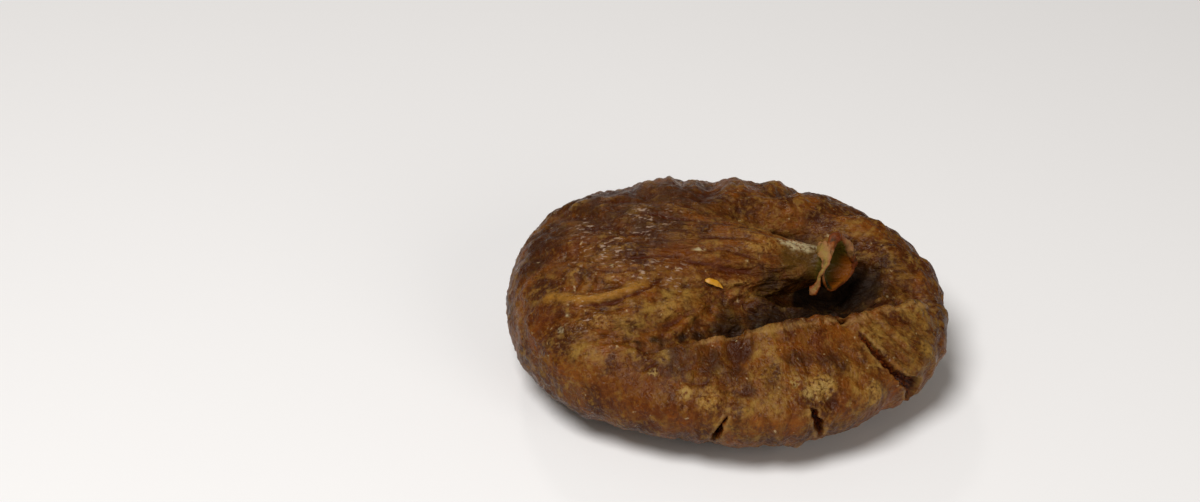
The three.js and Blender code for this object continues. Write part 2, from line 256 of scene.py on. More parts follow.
# The lip, the edge of the front lobe, and the girdle that carries it on round the back
LIP_POINTS = (
    (-15, -13.4), (-9.9, -14.5), (-5.5, -13.7), (-1.6, -12.8), (3.2, -12.2), (8.4, -10.8),
    (11.3, -9.8), (13.3, -9.5), (15.1, -8.2), (18.5, -5.8), (22.1, -3), (24.1, -1.4),
)
SHOULDER_POINTS = (
    (22.3, 3.5), (17.5, 8.5), (9.5, 12.2), (0, 12.6), (-9, 11.6), (-15, 7.2), (-17.6, 0.5), (-18, -6.5),
)
LIP = smooth_line(LIP_POINTS, False, 44)
GIRDLE = smooth_line(LIP_POINTS + SHOULDER_POINTS, True, 120)
GIRDLE_LIMIT = 0.97
SEARCH_FROM, HALVINGS = 0.3, 24

# The fold behind the lip, by share of the lip's length, and the hollow that the neck lies in
FOLD_DEPTH = ((0, 0.4), (0.2, 1.8), (0.36, 5), (0.55, 6.3), (0.75, 5.8), (0.9, 3.4), (1, 0.8))
FOLD_WIDTH = ((0, 3), (0.2, 8), (0.36, 14), (0.55, 17), (0.75, 16), (0.9, 11), (1, 6))
FOLD_POWER = 1.2
LIP_WALL = (-0.2, 1.7)
CREST_RISE, CREST_LEAN, CREST_AHEAD, CREST_SPREAD = 0.7, 0.6, 0.5, 1.2
CREST_COMES, CREST_GOES = (0.1, 0.4), (0.85, 1)
HOLLOW_MIDDLE, HOLLOW_HALVES, HOLLOW_FLOOR, HOLLOW_DEPTH = (6.8, 0.6), (14, 9.5), 0.3, 7.8
RIM_MARGIN = 0.4
EYE_DIMPLE, EYE_FLOOR, EYE_EDGE, PLUG_HEIGHT, PLUG_EDGE = 1.3, 0.8, 3, 0.6, 1.1

# The neck and the torn stalk as rings, from inside the mouth back to the root: the centre, how far
# it is turned to the front and tipped up, its half height and half width, and its torn edge's share
NECK_RINGS = (
    ((10.5, -0.2, 13.9), 38, 8, 0.5, 0.4, 0),
    ((10.0, 0.1, 13.9), 36, 8, 1.1, 0.9, 0),
    ((11.0, -0.4, 13.9), 38, 8, 2.1, 1.7, 0.2),
    ((12.0, -0.9, 13.9), 40, 8, 2.7, 2.3, 1),
    ((11.8, -0.8, 13.9), 40, 8, 3.2, 2.8, 1),
    ((10.4, -0.1, 13.8), 24, 2, 2.45, 2.3, 0.1),
    ((8.8, 0.1, 13.6), 8, 0, 2.4, 2.3, 0),
    ((6.2, 0, 13.6), 0, 6, 3.1, 3.2, 0),
    ((2.5, 0.2, 14.1), 0, 20, 4.1, 4.8, 0),
)
CROWN_START = 0.32
TORN_EDGE = (
    (0, -0.9), (35, -0.6), (75, 0.1), (105, -0.3), (150, 0), (180, 0.6), (215, -0.3), (260, 0.0),
    (290, -0.1), (310, -0.2), (335, -0.6),
)


def section(fall):
    """Reach and rise on a superellipse: reach is 0 in the middle and 1 at the rim, and rise is 1
    on top, 0 at the rim and -1 underneath."""
    power = np.where(fall < np.pi / 2, CROWN_POWER, BELLY_POWER)
    s, c = np.abs(np.sin(fall)), np.abs(np.cos(fall))
    size = (s**power + c**power) ** (1 / power)
    return s / size, np.sign(np.cos(fall)) * c / size


def rim_point(direction):
    """The rim in plan: half the width times the outline's share, out along the direction."""
    radius = WIDTH / 2 * around(OUTLINE, direction)
    turn = np.radians(direction)
    return radius * np.cos(turn), radius * np.sin(turn)


def swirled(column, reach):
    """The plan direction of a crown column, which swirls on the left as it runs up to the neck."""
    return column + SWIRL_MOST * (1 - reach) * bell(turn_between(column, SWIRL_AT), SWIRL_SPREAD)


def pressed_in(x, y):
    """How far the crown is pressed in, how far it leans to the back, and where it lies beside the
    lip: the signed distance behind it and the share of its length."""
    gap, share, side = beside(LIP, x, y)
    behind = gap * side
    wall = ease(*LIP_WALL, behind)
    openness = np.clip(1 - behind / along(FOLD_WIDTH, share), 0, 1)
    fold = along(FOLD_DEPTH, share) * wall * openness**FOLD_POWER
    from_hollow = np.hypot(
        (x - HOLLOW_MIDDLE[0]) / HOLLOW_HALVES[0], (y - HOLLOW_MIDDLE[1]) / HOLLOW_HALVES[1]
    )
    hollow = HOLLOW_DEPTH * wall * (1 - ease(HOLLOW_FLOOR, 1, from_hollow))
    crest = lasting(share, CREST_COMES, CREST_GOES) * bell(behind + CREST_AHEAD, CREST_SPREAD)
    return np.maximum(fold, hollow) - CREST_RISE * crest, CREST_LEAN * crest, behind, share


def fruit_points(column, fall):
    """Points of the smooth fruit for arrays of columns and falls, by the solid's formulas."""
    reach, rise = section(fall)
    rx, ry = rim_point(column)
    x, y = mix(EYE[0], rx, reach), mix(EYE[1], ry, reach)
    gap = np.hypot(x - EYE[0], y - EYE[1])
    dimple = EYE_DIMPLE * (1 - ease(EYE_FLOOR, EYE_EDGE, gap))
    dimple = dimple - PLUG_HEIGHT * (1 - ease(0, PLUG_EDGE, gap))
    below = np.maximum(0, RIM_HEIGHT + (RIM_HEIGHT + SAG_BELOW_REST) * rise) + dimple
    belly = np.stack([x, y, below], -1)
    direction = swirled(column, reach)
    rx, ry = rim_point(direction)
    x, y = mix(NECK_ROOT[0], rx, reach), mix(NECK_ROOT[1], ry, reach)
    height = CROWN_HEIGHT - RIM_HEIGHT - around(CROWN_FALL, direction) * reach
    drop, lean, _, _ = pressed_in(x, y)
    inland = ease(0, RIM_MARGIN, rise)
    crown = np.stack([x, y + lean * inland, RIM_HEIGHT + height * rise - drop * inland], -1)
    return np.where((rise > 0)[..., None], crown, belly)


def girdle_reach(direction):
    """The reach at which the straight line from the neck's root in a direction crosses the girdle."""
    ax, ay = NECK_ROOT
    rx, ry = rim_point(direction)
    dx, dy = rx - ax, ry - ay
    px, py = GIRDLE[:-1, 0][:, None], GIRDLE[:-1, 1][:, None]
    qx, qy = GIRDLE[1:, 0][:, None], GIRDLE[1:, 1][:, None]
    side_p = dx * (py - ay) - dy * (px - ax)
    side_q = dx * (qy - ay) - dy * (qx - ax)
    crosses = (dx * (px - ax) + dy * (py - ay) > 0) & ((side_p <= 0) != (side_q <= 0))
    i = np.argmax(crosses, axis=0)
    pick = (i, np.arange(len(direction)))
    t = side_p[pick] / (side_p[pick] - side_q[pick])
    x, y = mix(px[i, 0], qx[i, 0], t), mix(py[i, 0], qy[i, 0], t)
    return np.minimum(GIRDLE_LIMIT, np.hypot(x - ax, y - ay) / np.hypot(dx, dy))


def crossing_reach(column):
    """The reach at which swirling columns cross the girdle, found by halving."""
    low, high = np.full(len(column), SEARCH_FROM), np.ones(len(column))
    for _ in range(HALVINGS):
        middle = (low + high) / 2
        under = middle < girdle_reach(swirled(column, middle))
        low, high = np.where(under, middle, low), np.where(under, high, middle)
    return low


def neck_points(ring, direction):
    """A neck ring's points for directions at the root: 0 is its underside and 180 its top."""
    at, turned, tipped, high, wide, torn = ring
    turn, tip = math.radians(turned), math.radians(tipped)
    ahead = np.array([math.cos(turn), -math.sin(turn), 0])
    up = np.array([0, 0, math.cos(tip)]) - math.sin(tip) * ahead
    near = np.array([-math.sin(turn), -math.cos(turn), 0])
    turned_round = np.radians(direction - 180)
    spare = torn * around(TORN_EDGE, direction)
    return (
        np.array(at)
        + ((high + spare) * np.cos(turned_round))[:, None] * up
        + ((wide + spare) * np.sin(turned_round))[:, None] * near
    )


# Ribs from the neck to the eye, as in the solid: how many go round, their height in millimetres and
# how far they wander, and the slow waves of that wandering by their number, start and share
RIBS = ((26, 0.26, 1.6), (43, 0.13, 2.3))
RIB_WANDER = ((3, 0.4, 1), (5, 2.1, 0.6))
RIB_STRENGTH = (
    (0, 0.6), (28, 0.85), (52, 0.5), (78, 0.9), (104, 0.6), (130, 0.75), (160, 0.4), (195, 0.35),
    (225, 0.4), (250, 0.65), (270, 0.85), (295, 0.65), (320, 0.85),
)
# How strong they are at the rim and on the neck, and where they change: by the rise on the crown,
# by the height over the floor, and by rings along the neck
RIBS_AT_RIM, RIBS_ON_NECK = 1.25, 0.6
RIBS_CHANGE_UP, RIBS_START_LOW, RIBS_START_ON_NECK = (0.3, 1), (0.3, 4), (5, 9)

# The longer folds of the crown, as in the solid: the column, the reaches between which each runs,
# its height and half width in millimetres, and the depth of the crease in front of it
FOLDS = (
    (196, 0.34, 0.97, 0.2, 1.2, 0.0),
    (211, 0.4, 0.9, 0.35, 1.2, 0.3),
    (222, 0.3, 0.8, 0.3, 1.2, 0.3),
    (180, 0.3, 0.8, 0.35, 1.4, 0.35),
    (163, 0.35, 1, 0.35, 1.5, 0.4),
    (141, 0.3, 0.9, 0.4, 1.6, 0.4),
    (116, 0.35, 0.95, 0.3, 1.5, 0.5),
    (84, 0.3, 0.9, 0.35, 1.6, 0.5),
    (52, 0.4, 1, 0.3, 1.5, 0.5),
    (26, 0.4, 0.95, 0.35, 1.6, 0.4),
)
FOLD_COMES, FOLD_GOES = (0, 0.25), (0.75, 1)
CREASE_AHEAD, CREASE_HALF = 1.7, 0.7

# Splits: the line from its upper end as pairs of a fall and a column in degrees, the half width and
# the depth in millimetres, and the profile, the opening's share of that half width along the line
SPLITS = (
    (
        ((45, 320.3), (58, 319.8), (68, 320.5), (77, 322), (85, 324.4), (95, 326.6), (105, 327.2),
         (114, 326.2)),
        0.8, 1.5,
        ((0, 0), (0.05, 0.45), (0.2, 0.6), (0.32, 0.5), (0.48, 0.8), (0.58, 1.5), (0.78, 1.7),
         (0.93, 1.2), (1, 0)),
    ),
    (
        ((69, 267.4), (82, 266.6), (95, 265.2), (108, 263.6)),
        0.5, 1.5,
        ((0, 0), (0.25, 0.45), (0.45, 0.35), (0.75, 1.1), (0.9, 0.7), (1, 0)),
    ),
    (
        ((67, 291.6), (80, 292.2), (94, 293.4), (113, 295.6)),
        0.5, 1.6,
        ((0, 0), (0.15, 0.6), (0.5, 1.1), (0.8, 0.8), (1, 0)),
    ),
)
# How far the walls are torn to and fro, how soon a split is at its full depth, and where its wall,
# its pulp and its rim lie beside the edge of the opening, in millimetres
SPLIT_RAG, SPLIT_DEEPENS, SPLIT_WALL = 0.3, 1.4, (0, 0.28)
PULP_EDGE, PULP_OPENING = (-0.02, 0.12), (0, 0.1)
SPLIT_RIM_OUT, SPLIT_RIM_HALF, SPLIT_RIM_OPENING = 0.26, 0.3, (0, 0.2)
# Where the columns gather, over the splits and the front: the middle in degrees, how many columns
# are added to each one there, and over how many degrees
GATHERINGS = ((323, 2.2, 5), (265.4, 2.2, 3), (293.2, 2.2, 3.5), (270, 0.5, 60))


def ribs(column):
    """Ribs across the columns: cosines that go round the fruit, shifted by the wandering and
    strengthened by direction."""
    turn = np.radians(column)
    wander = sum(share * np.sin(count * turn + start) for count, start, share in RIB_WANDER)
    waves = sum(height * np.cos(count * turn + drift * wander) for count, height, drift in RIBS)
    return around(RIB_STRENGTH, column) * waves


def gathered_columns():
    """Column directions, closer together over the splits and the front."""
    at = (np.arange(SHARING_STEPS) + 0.5) * 360 / SHARING_STEPS
    density = 1 + sum(more * bell(turn_between(at, middle), spread) for middle, more, spread in GATHERINGS)
    total = np.concatenate([[0], np.cumsum(density)])
    targets = total[-1] * np.arange(COLUMNS) / COLUMNS
    return np.interp(targets, total, np.arange(SHARING_STEPS + 1) * 360 / SHARING_STEPS)[::-1]


def fruit_falls(column):
    """The falls of the rows, from the crown's start over the girdle and the rim to the eye."""
    reach = crossing_reach(column)
    girdle = np.arctan2(reach, (1 - reach**CROWN_POWER) ** (1 / CROWN_POWER))
    flat = math.pi - math.asin(FLAT_REACH)
    to_lip = (np.arange(ROWS_TO_LIP) / ROWS_TO_LIP)[:, None] ** ROWS_GATHER
    to_rim = (np.arange(ROWS_TO_RIM) / ROWS_TO_RIM)[:, None]
    belly = (np.arange(ROWS_OF_BELLY) / ROWS_OF_BELLY)[:, None]
    to_eye = math.pi - np.arcsin(np.geomspace(FLAT_REACH, EYE_REACH, ROWS_TO_EYE))[:, None]
    level = np.ones_like(column)
    return np.concatenate([
        mix(CROWN_START, girdle, to_lip),
        mix(girdle, math.pi / 2, to_rim),
        mix(math.pi / 2, flat, belly) * level,
        to_eye * level,
    ])


def smooth_skin():
    """The smooth skin's grid, mouth to eye by rows: points, column directions, falls (0 on the
    neck), how far along the neck, and how strong the ribs are."""
    column = gathered_columns()
    falls = fruit_falls(column)
    reach, rise = section(falls)
    root = swirled(column, section(np.array(CROWN_START))[0])
    fruit = fruit_points(np.broadcast_to(column, falls.shape), falls)
    guides = np.stack([neck_points(ring, root) for ring in NECK_RINGS] + [fruit[row] for row in GUIDE_ROWS])
    onwards = np.concatenate([ring + np.arange(rows) / rows for ring, rows in enumerate(ROWS_PER_NECK_RING)])
    neck = through(guides, onwards)
    points = np.concatenate([neck, fruit])
    none = np.zeros((len(neck), COLUMNS))
    on_neck = np.concatenate([onwards[:, None] + none, np.full(falls.shape, len(NECK_RINGS))])
    on_crown = mix(RIBS_AT_RIM, RIBS_ON_NECK, ease(*RIBS_CHANGE_UP, rise))
    on_fruit = np.where(rise > 0, on_crown, RIBS_AT_RIM * ease(*RIBS_START_LOW, fruit[..., 2]))
    rib = np.concatenate([RIBS_ON_NECK * ease(*RIBS_START_ON_NECK, onwards)[:, None] + none, on_fruit])
    return points, np.broadcast_to(column, points.shape[:2]), np.concatenate([none, falls]), on_neck, rib


def grid_normals(points):
    """Unit normals of a grid that closes round its columns: across the steps between neighbours."""
    padded = np.concatenate([points[:1], points, points[-1:]])
    onwards = padded[2:] - padded[:-2]
    side = np.roll(points, -1, axis=1) - np.roll(points, 1, axis=1)
    return unit(np.cross(side, onwards))


# Wrinkles, large and small, in millimetres: how far apart, how long and how high over their mean.
# They wander, and the skin between them swells in longer lumps.
WRINKLES = ((1.7, 6.0, 0.48), (0.85, 2.6, 0.24))
WRINKLE_MEAN = 0.3
WANDER_SIZE, WANDER = 4.5, 1.2
SWELL_SIZE, SWELL_LENGTH, SWELL_HEIGHT = 3.0, 8.0, 0.42
GRAIN_SIZE, GRAIN_HEIGHT = 0.7, 0.09
RAG_SIZE = 0.9
PULP_SIZE, PULP_HEIGHT = 0.6, 0.3
SPLIT_RIM_HEIGHT = 0.1
SCAB_HEIGHT, SCAB_GRAIN = 0.25, 2.5

# Limits between which the skin changes. Past the stalk, and where the torn flesh and the calm skin
# of the neck end: rings along the neck. Off the floor and in front of the lip: millimetres.
PAST_STALK, TORN_FLESH, CALM_NECK = (5, 7.5), (5.6, 4.6), (8.5, 6.5)
OFF_FLOOR, IN_FRONT, FACES_UP = (0.8, 4), (1, -0.6), (-0.1, 0.3)
AT_RIM_BY_REACH, AT_RIM_BY_RISE = (0.8, 0.97), (-0.75, -0.1)
# Wrinkles stand upright on the front and the back, by the sine of the column, and low on the crown,
# by its reach
UPRIGHT_BY_SINE, UPRIGHT_BY_REACH = (0.5, 0.85), (0.35, 0.7)
# The share that is left of the ribs, the wrinkles and the swelling in those stretches
RIBS_KEPT, RIBS_KEPT_ON_NECK, RIBS_KEPT_AT_RIM, RIBS_KEPT_BY_REACH = 0.45, 0.15, 0.9, (0.3, 0.75)
WRINKLES_IN_FRONT, WRINKLES_AT_RIM, WRINKLES_AT_FLOOR = 0.55, 0.38, 0.4
SWELL_AT_FLOOR, SWELL_ON_NECK = 0.15, 0.35
# What the height mark takes of the swelling and the folds, and how deep the crown is pressed in
# where the hollow mark starts and ends, in millimetres. The hollow mark paints near black shade.
HEIGHT_OF_SWELL, HEIGHT_OF_FOLDS, HOLLOW_SHADE_MARK = 0.3, 0.3, (1.5, 6)

# Creases of the crown and the neck as lines in plan, in millimetres, with their half width and
# depth and how high the skin swells beside them
CREASES = (
    (((-18.4, -8.6), (-16.4, -9.1), (-15.4, -9.3), (-14.4, -9.4), (-13.4, -9.4), (-12.4, -9.2), (-11.4, -8.8),
      (-10.3, -8.4), (-9.5, -7.9), (-8.8, -7.4), (-8.1, -6.8), (-7.4, -6.3), (-5.7, -5.5)), 0.19, 0.32, 0.06),
    (((-14.4, -2.5), (-12.2, -3), (-9.6, -3.5), (-7.9, -3.4), (-5.7, -3.7), (-4.2, -4.2), (-2.4, -4.3),
      (-0.7, -4.6), (0.9, -4.4), (3.1, -4), (5.2, -3.2)), 0.26, 0.31, 0.13),
    (((-16.6, 0), (-14.4, 0.1), (-12.6, 0.5), (-10.6, 0.9), (-8.3, 1.2), (-5.8, 0.8)), 0.27, 0.24, 0.11),
    (((-18.9, -1.6), (-17.2, -3.2), (-15.5, -4.4), (-13.8, -5.2), (-11.7, -5.6), (-9.5, -5.6), (-7.7, -5.2)),
     0.26, 0.23, 0.11),
    (((-16.8, -12.9), (-15.9, -12.9), (-14.6, -12.8), (-13.2, -12.6), (-11.8, -12)), 0.22, 0.16, 0.08),
    (((-21.4, -8.4), (-20.1, -8.9), (-18.8, -9.2), (-17.2, -9.6)), 0.31, 0.21, 0.08),
    (((-10.2, -16.6), (-9.4, -16.2), (-8.9, -16), (-8, -15.6)), 0.2, 0.27, 0.13),
    (((-5.9, -17.7), (-5.3, -17.8), (-4.2, -17.9), (-3.2, -18.1), (-2.5, -17.8)), 0.2, 0.27, 0.13),
    (((16.6, -8.2), (17.9, -7.9), (18.8, -7.8), (19.7, -7.4), (20.7, -7.2), (21.6, -7.2)), 0.2, 0.21, 0.13),
    (((-4.4, -0.3), (-2.4, -0.6), (0.1, -0.7), (2.1, -1.3), (4.5, -1.3)), 0.27, 0.18, 0.1),
    (((-1.5, -2.3), (0.9, -2.9), (3.1, -2.9), (5.4, -2.1), (7.7, -0.9)), 0.27, 0.19, 0.1),
    (((-12.5, 4.6), (-9, 4), (-5.5, 3.4), (-2.5, 2.6), (0.5, 1.9), (3.5, 1.4)), 0.31, 0.25, 0.11),
    (((-15.5, 7.4), (-12, 7.6), (-8, 7), (-4.5, 6), (-1.5, 4.8)), 0.34, 0.27, 0.13),
    (((-17.5, 3.4), (-15, 3), (-12.5, 2.8), (-9.8, 2.5)), 0.27, 0.21, 0.1),
    (((-8.8, -13), (-7.6, -11.8), (-6.5, -10.6), (-5.2, -9.6), (-3.4, -8.9)), 0.31, 0.24, 0.11),
    (((15.8, -9), (16.5, -9.8), (17.3, -10.5), (18.7, -11.2), (20.4, -11.3)), 0.28, 0.2, 0.13),
    (((18.6, -7.4), (19.4, -7.9), (20.4, -8.4), (21.6, -8.6)), 0.24, 0.16, 0.11),
    (((17, -12.2), (17.7, -12.6), (18.7, -12.9), (19.9, -12.5)), 0.24, 0.16, 0.11),
    (((11.2, -13.1), (12, -13.7), (13.2, -14.4), (14.3, -14.9), (15.6, -15.1)), 0.32, 0.18, 0.14),
)
# The depth at which a crease is fully darkened by painted shade, its steps for each point, the shares of its
# length where it comes and goes, how far beside it and how widely the skin swells in half widths, and its
# straying
CREASE_DEPTH_FOR_SHADE = 0.5
CREASE_STEPS = 2
CREASE_COMES, CREASE_GOES = (0, 0.2), (0.8, 1)
SWELL_BESIDE, SWELL_WIDER = 3, 1.6
CREASE_STRAY_SIZE, CREASE_STRAY = 1.6, 0.35

# The yellow ridge of the left side, in plan
YELLOW_RIDGE = (
    (-21.6, -5.7), (-19.8, -6.5), (-18.6, -7.1), (-17.5, -7.7), (-16.4, -8.3), (-15.3, -8.7),
    (-14.4, -8.8), (-13.5, -8.7), (-12.6, -8.4), (-11.6, -8), (-10.6, -7.5), (-9.8, -7), (-9, -6.6),
    (-8, -6.1), (-6.8, -5.6),
)
YELLOW_RIDGE_HALF, YELLOW_RIDGE_HEIGHT = 0.66, 0.44
YELLOW_RIDGE_STEPS = 30
YELLOW_RIDGE_COMES, YELLOW_RIDGE_GOES = (0, 0.08), (0.65, 1)
YELLOW_RIDGE_CALMS = 0.8

# The crease behind the lip, the ragged crest and its pale edge, a painted highlight, by how far
# behind the lip they lie, with the shares of the lip's length where they come and go
LIP_CREASE_BEHIND, LIP_CREASE_HALF, LIP_CREASE_DEPTH = 0.45, 0.42, 0.9
LIP_CREASE_COMES, LIP_CREASE_GOES = (0.03, 0.14), (0.3, 0.42)
CREST_EDGE_AHEAD, CREST_EDGE_HALF, CREST_RAG_SIZE, CREST_RAG = 0.45, 0.8, 1.2, 0.75
CREST_EDGE_COMES, CREST_EDGE_GOES = (0.14, 0.26), (0.9, 1)
CREST_HIGHLIGHT_AHEAD, CREST_HIGHLIGHT_HALF = 0.3, 0.45
# Notches of the crest: x, y, the radius and the depth in millimetres
NOTCHES = ((11.9, -9.8, 0.7, 1.5), (8.2, -10.8, 0.5, 0.35), (-0.6, -12.8, 0.7, 0.3), (16.4, -7.3, 0.5, 0.3))

# Scabs and pits of the skin: x, y, z and the radius, and for pits the depth, in millimetres
SCABS = ((14.9, -17, 8, 1.5), (9, -18.1, 9.7, 1.7), (-5.3, -18.8, 9.4, 0.9), (-3, -19.8, 9.1, 1.3))
PITS = (
    (1, -19.3, 10, 0.7, 0.4), (14.7, -17, 8.1, 0.5, 0.35), (10.2, -19, 8.4, 0.8, 0.55),
    (0.2, -14.6, 12, 1.8, 0.35), (15.8, -16, 6.6, 0.5, 0.3), (6.4, -18.2, 10.1, 0.45, 0.3),
)

# Places of colour on the skin: x, y, z and the radius, in millimetres
PLACES = {
    "warm": (
        (-17.6, 0.2, 16, 2.6), (-18.9, -1.9, 14.9, 1.8), (-21.2, -8.2, 11.2, 2.6),
        (-12.4, -17.5, 9.1, 2.8), (-9.3, -18.9, 8.2, 2.6), (5.6, -21.4, 7.6, 1.9),
        (11.2, -18.9, 8.2, 1.4), (17.6, -14.7, 7, 1.3), (-5.6, -19.9, 7.6, 2),
        (8.5, -13.5, 12, 2.2), (-6, -4, 17, 2.6), (-1, -4.6, 16, 1.8),
    ),
    "dusk": (
        (-3.4, 3, 0.9, 1.4), (-20.5, 4, 14.7, 3.6), (-21.9, 0.9, 13.4, 2.4), (-14, 8, 16, 6),
        (-8, 2, 17.5, 4), (0.6, -14.6, 12.2, 1.9), (0.2, -17, 10.8, 1.6), (6.6, -15.8, 11.4, 1.5),
        (1.2, -18.6, 10, 0.9), (-5, 9, 16, 5), (10.5, -15.5, 11.2, 1.8), (-6.5, -15.5, 11.5, 2.6),
        (-2.5, -15.5, 11.5, 2),
    ),
    "pale": (
        (3.5, -12.8, 13.1, 1.3), (3.7, -14.6, 12.2, 1.4), (3.8, -16.4, 11.2, 1),
        (3.8, -19.8, 9.3, 1.9), (1.6, -20.2, 9, 1.3), (-12.4, -17.6, 8.7, 0.5),
        (-12.2, -18.1, 8, 0.5), (-9, -19.4, 7.4, 0.5), (-8.8, -19.8, 6.6, 0.5),
        (12.4, -17.9, 8.8, 0.7), (13.2, -18, 8.3, 0.6), (12.2, -18.6, 8.2, 0.6),
        (19.5, -10.5, 9, 3), (15.5, -10.5, 11.5, 2), (20.6, -5.5, 11, 2.2), (-8, -14.9, 11.4, 1),
        (-1.6, -21, 7.4, 1.2), (12.4, -16.2, 10.2, 1.2), (13.8, -18.4, 6.4, 0.9),
        (-5.2, -7.6, 14.7, 1.6), (-7.3, -8.6, 14.5, 1.5), (-9.5, -10.8, 14.3, 1.7),
        (-11.2, -11.8, 13.9, 1.4), (-16, -13.5, 11, 1.8), (6, -17.5, 10.3, 1.2),
        (7.6, -20.2, 8.2, 0.9),
    ),
    "orange": (
        (2, -21.8, 7.6, 1.3), (4.4, -21.4, 7.9, 1.3), (6.7, -21.4, 7.3, 1.2), (17.4, -14.9, 7, 1),
        (-21.4, -9.4, 9.4, 1.8), (-18, -12.6, 9, 1.8), (-6, -20.4, 7.2, 1.2),
    ),
    "crust": (
        (6.3, -18, 10.3, 0.7), (7.7, -18.9, 9.6, 0.7), (9.3, -17.9, 9.8, 0.8),
        (8.6, -18.4, 9.6, 0.6), (10, -17.5, 9.9, 0.5), (-5.3, -18.8, 9.4, 0.7),
        (-8.8, -16.6, 10.6, 0.6),
    ),
    "bloom": (
        (5.6, 0, 16.7, 0.7), (7, 0, 16.4, 1), (8.4, 0.1, 16.1, 0.95), (9.6, 0.2, 16, 0.6),
        (-14.3, -9.9, 13.7, 0.35), (-18, -9.3, 13.1, 0.3), (-18.6, -10.7, 12.1, 0.35),
        (-15.5, -10, 13.2, 0.28), (-13.1, -4.6, 16.5, 0.3), (-3.5, -2.6, 17.4, 0.3),
    ),
    # painted glints: where pale dashes stand for glints of light
    "painted_glints": (
        (-14.5, -1, 16.5, 4.5), (-11, -5, 16.5, 3.5), (-9, 3, 17, 4), (-16, -9.6, 13.6, 2.4),
        (-6, -6, 16, 2), (-17, 4, 16, 3),
    ),
    # painted shade: dark under the neck, in the bowl beside it and in the valley behind the lip
    "painted_shade": (
        (4.5, -4.5, 13.5, 2.6), (7.5, -3.8, 12.6, 2.6), (10.2, -3, 11.4, 2.2),
        (12.5, -3.5, 10.5, 3), (4, -8, 11, 3.4), (-0.5, -9, 11.6, 2.4), (8.5, -6.5, 10, 3.4),
        (16, 2, 9, 4), (-3, -11.3, 12, 1.5), (-5.6, -11.7, 11.9, 1.2), (-8, -12.8, 12, 0.8),
        (-10.2, -13.8, 12.2, 0.6),
    ),
    "mouth_red": (
        (12.8, 0, 12.2, 1.5), (13.5, 0.9, 13.6, 1.3), (11.8, -1.6, 11.8, 1.2),
    ),
    "olive": (
        (8.8, -1.2, 15.6, 1.7), (6.5, -1.6, 15.6, 1.6), (9.4, -2.2, 14.4, 1.4),
    ),
    "mouth_green": (
        (10.4, -2.2, 13, 1.1), (10.3, -2, 14.4, 0.9), (10.8, -1.2, 15.2, 0.8),
    ),
}
# Patches of colour that have no outline of their own are looked up at points that stray
STRAYING = ("warm", "dusk", "pale", "painted_shade", "orange", "painted_glints")
STRAY_SIZE, STRAY = 2.6, 1.5


def folds(column, reach, radius):
    """The crown's long folds: a bell across the columns for the ridge, and a narrower one taken
    away in front of it for the crease."""
    total = 0
    for at, start, end, height, half, crease in FOLDS:
        share = (reach - start) / (end - start)
        ends = lasting(share, FOLD_COMES, FOLD_GOES)
        ahead = np.radians(turn_between(column, at)) * radius
        total = total + ends * height * bell(ahead, half)
        total = total - ends * crease * bell(ahead - CREASE_AHEAD * half, CREASE_HALF * half)
    return total


def creases(x, y):
    """Grooves along the lines of CREASES, a bell across each, with a wider bell for the swelling
    beside it. Returns the height and how creased each point is, from 0 to 1, which the material darkens as
    painted shade."""
    height, dark = 0, 0
    for line, half, depth, swell in CREASES:
        gap, share, _ = beside(smooth_line(line, False, CREASE_STEPS * len(line)), x, y)
        fade = lasting(share, CREASE_COMES, CREASE_GOES)
        groove = fade * bell(gap, half)
        swelling = fade * swell * bell(gap - SWELL_BESIDE * half, SWELL_WIDER * half)
        height = height + swelling - depth * groove
        dark = np.maximum(dark, groove * min(1, depth / CREASE_DEPTH_FOR_SHADE))
    return height, dark


def yellow_ridge(x, y):
    """A bell across the line of YELLOW_RIDGE, which comes and goes along it."""
    gap, share, _ = beside(smooth_line(YELLOW_RIDGE, False, YELLOW_RIDGE_STEPS), x, y)
    return lasting(share, YELLOW_RIDGE_COMES, YELLOW_RIDGE_GOES) * bell(gap, YELLOW_RIDGE_HALF)


def lip_edges(behind, share):
    """Bells across the lip for the crease behind it and the crest on it, which come and go along
    it."""
    crease = bell(behind - LIP_CREASE_BEHIND, LIP_CREASE_HALF)
    crest = bell(behind + CREST_EDGE_AHEAD, CREST_EDGE_HALF)
    return (
        crease * lasting(share, LIP_CREASE_COMES, LIP_CREASE_GOES),
        crest * lasting(share, CREST_EDGE_COMES, CREST_EDGE_GOES),
    )


def splits(column, fall, radius, rag):
    """Splits in the skin: an opening as wide as its profile says, with steep ragged walls. Returns
    the depth, how far inside the opening a point is from 0 to 1, and how near its torn edge."""
    total, inside, rim = 0, 0, 0
    degrees = np.degrees(fall)
    for line, half, depth, profile in SPLITS:
        falls, columns = np.array(line, float).T
        share = (degrees - falls[0]) / (falls[-1] - falls[0])
        opening = half * along(profile, share)
        middle = np.interp(degrees, falls, columns)
        gap = np.abs(np.radians(turn_between(column, middle)) * radius + SPLIT_RAG * rag)
        into = opening - gap
        deepening = np.minimum(1, SPLIT_DEEPENS * opening / half)
        total = total + depth * deepening * ease(*SPLIT_WALL, into)
        inside = np.maximum(inside, ease(*PULP_EDGE, into) * ease(*PULP_OPENING, opening))
        torn_edge = bell(into + SPLIT_RIM_OUT, SPLIT_RIM_HALF)
        rim = np.maximum(rim, torn_edge * ease(*SPLIT_RIM_OPENING, opening))
    return total, inside, rim


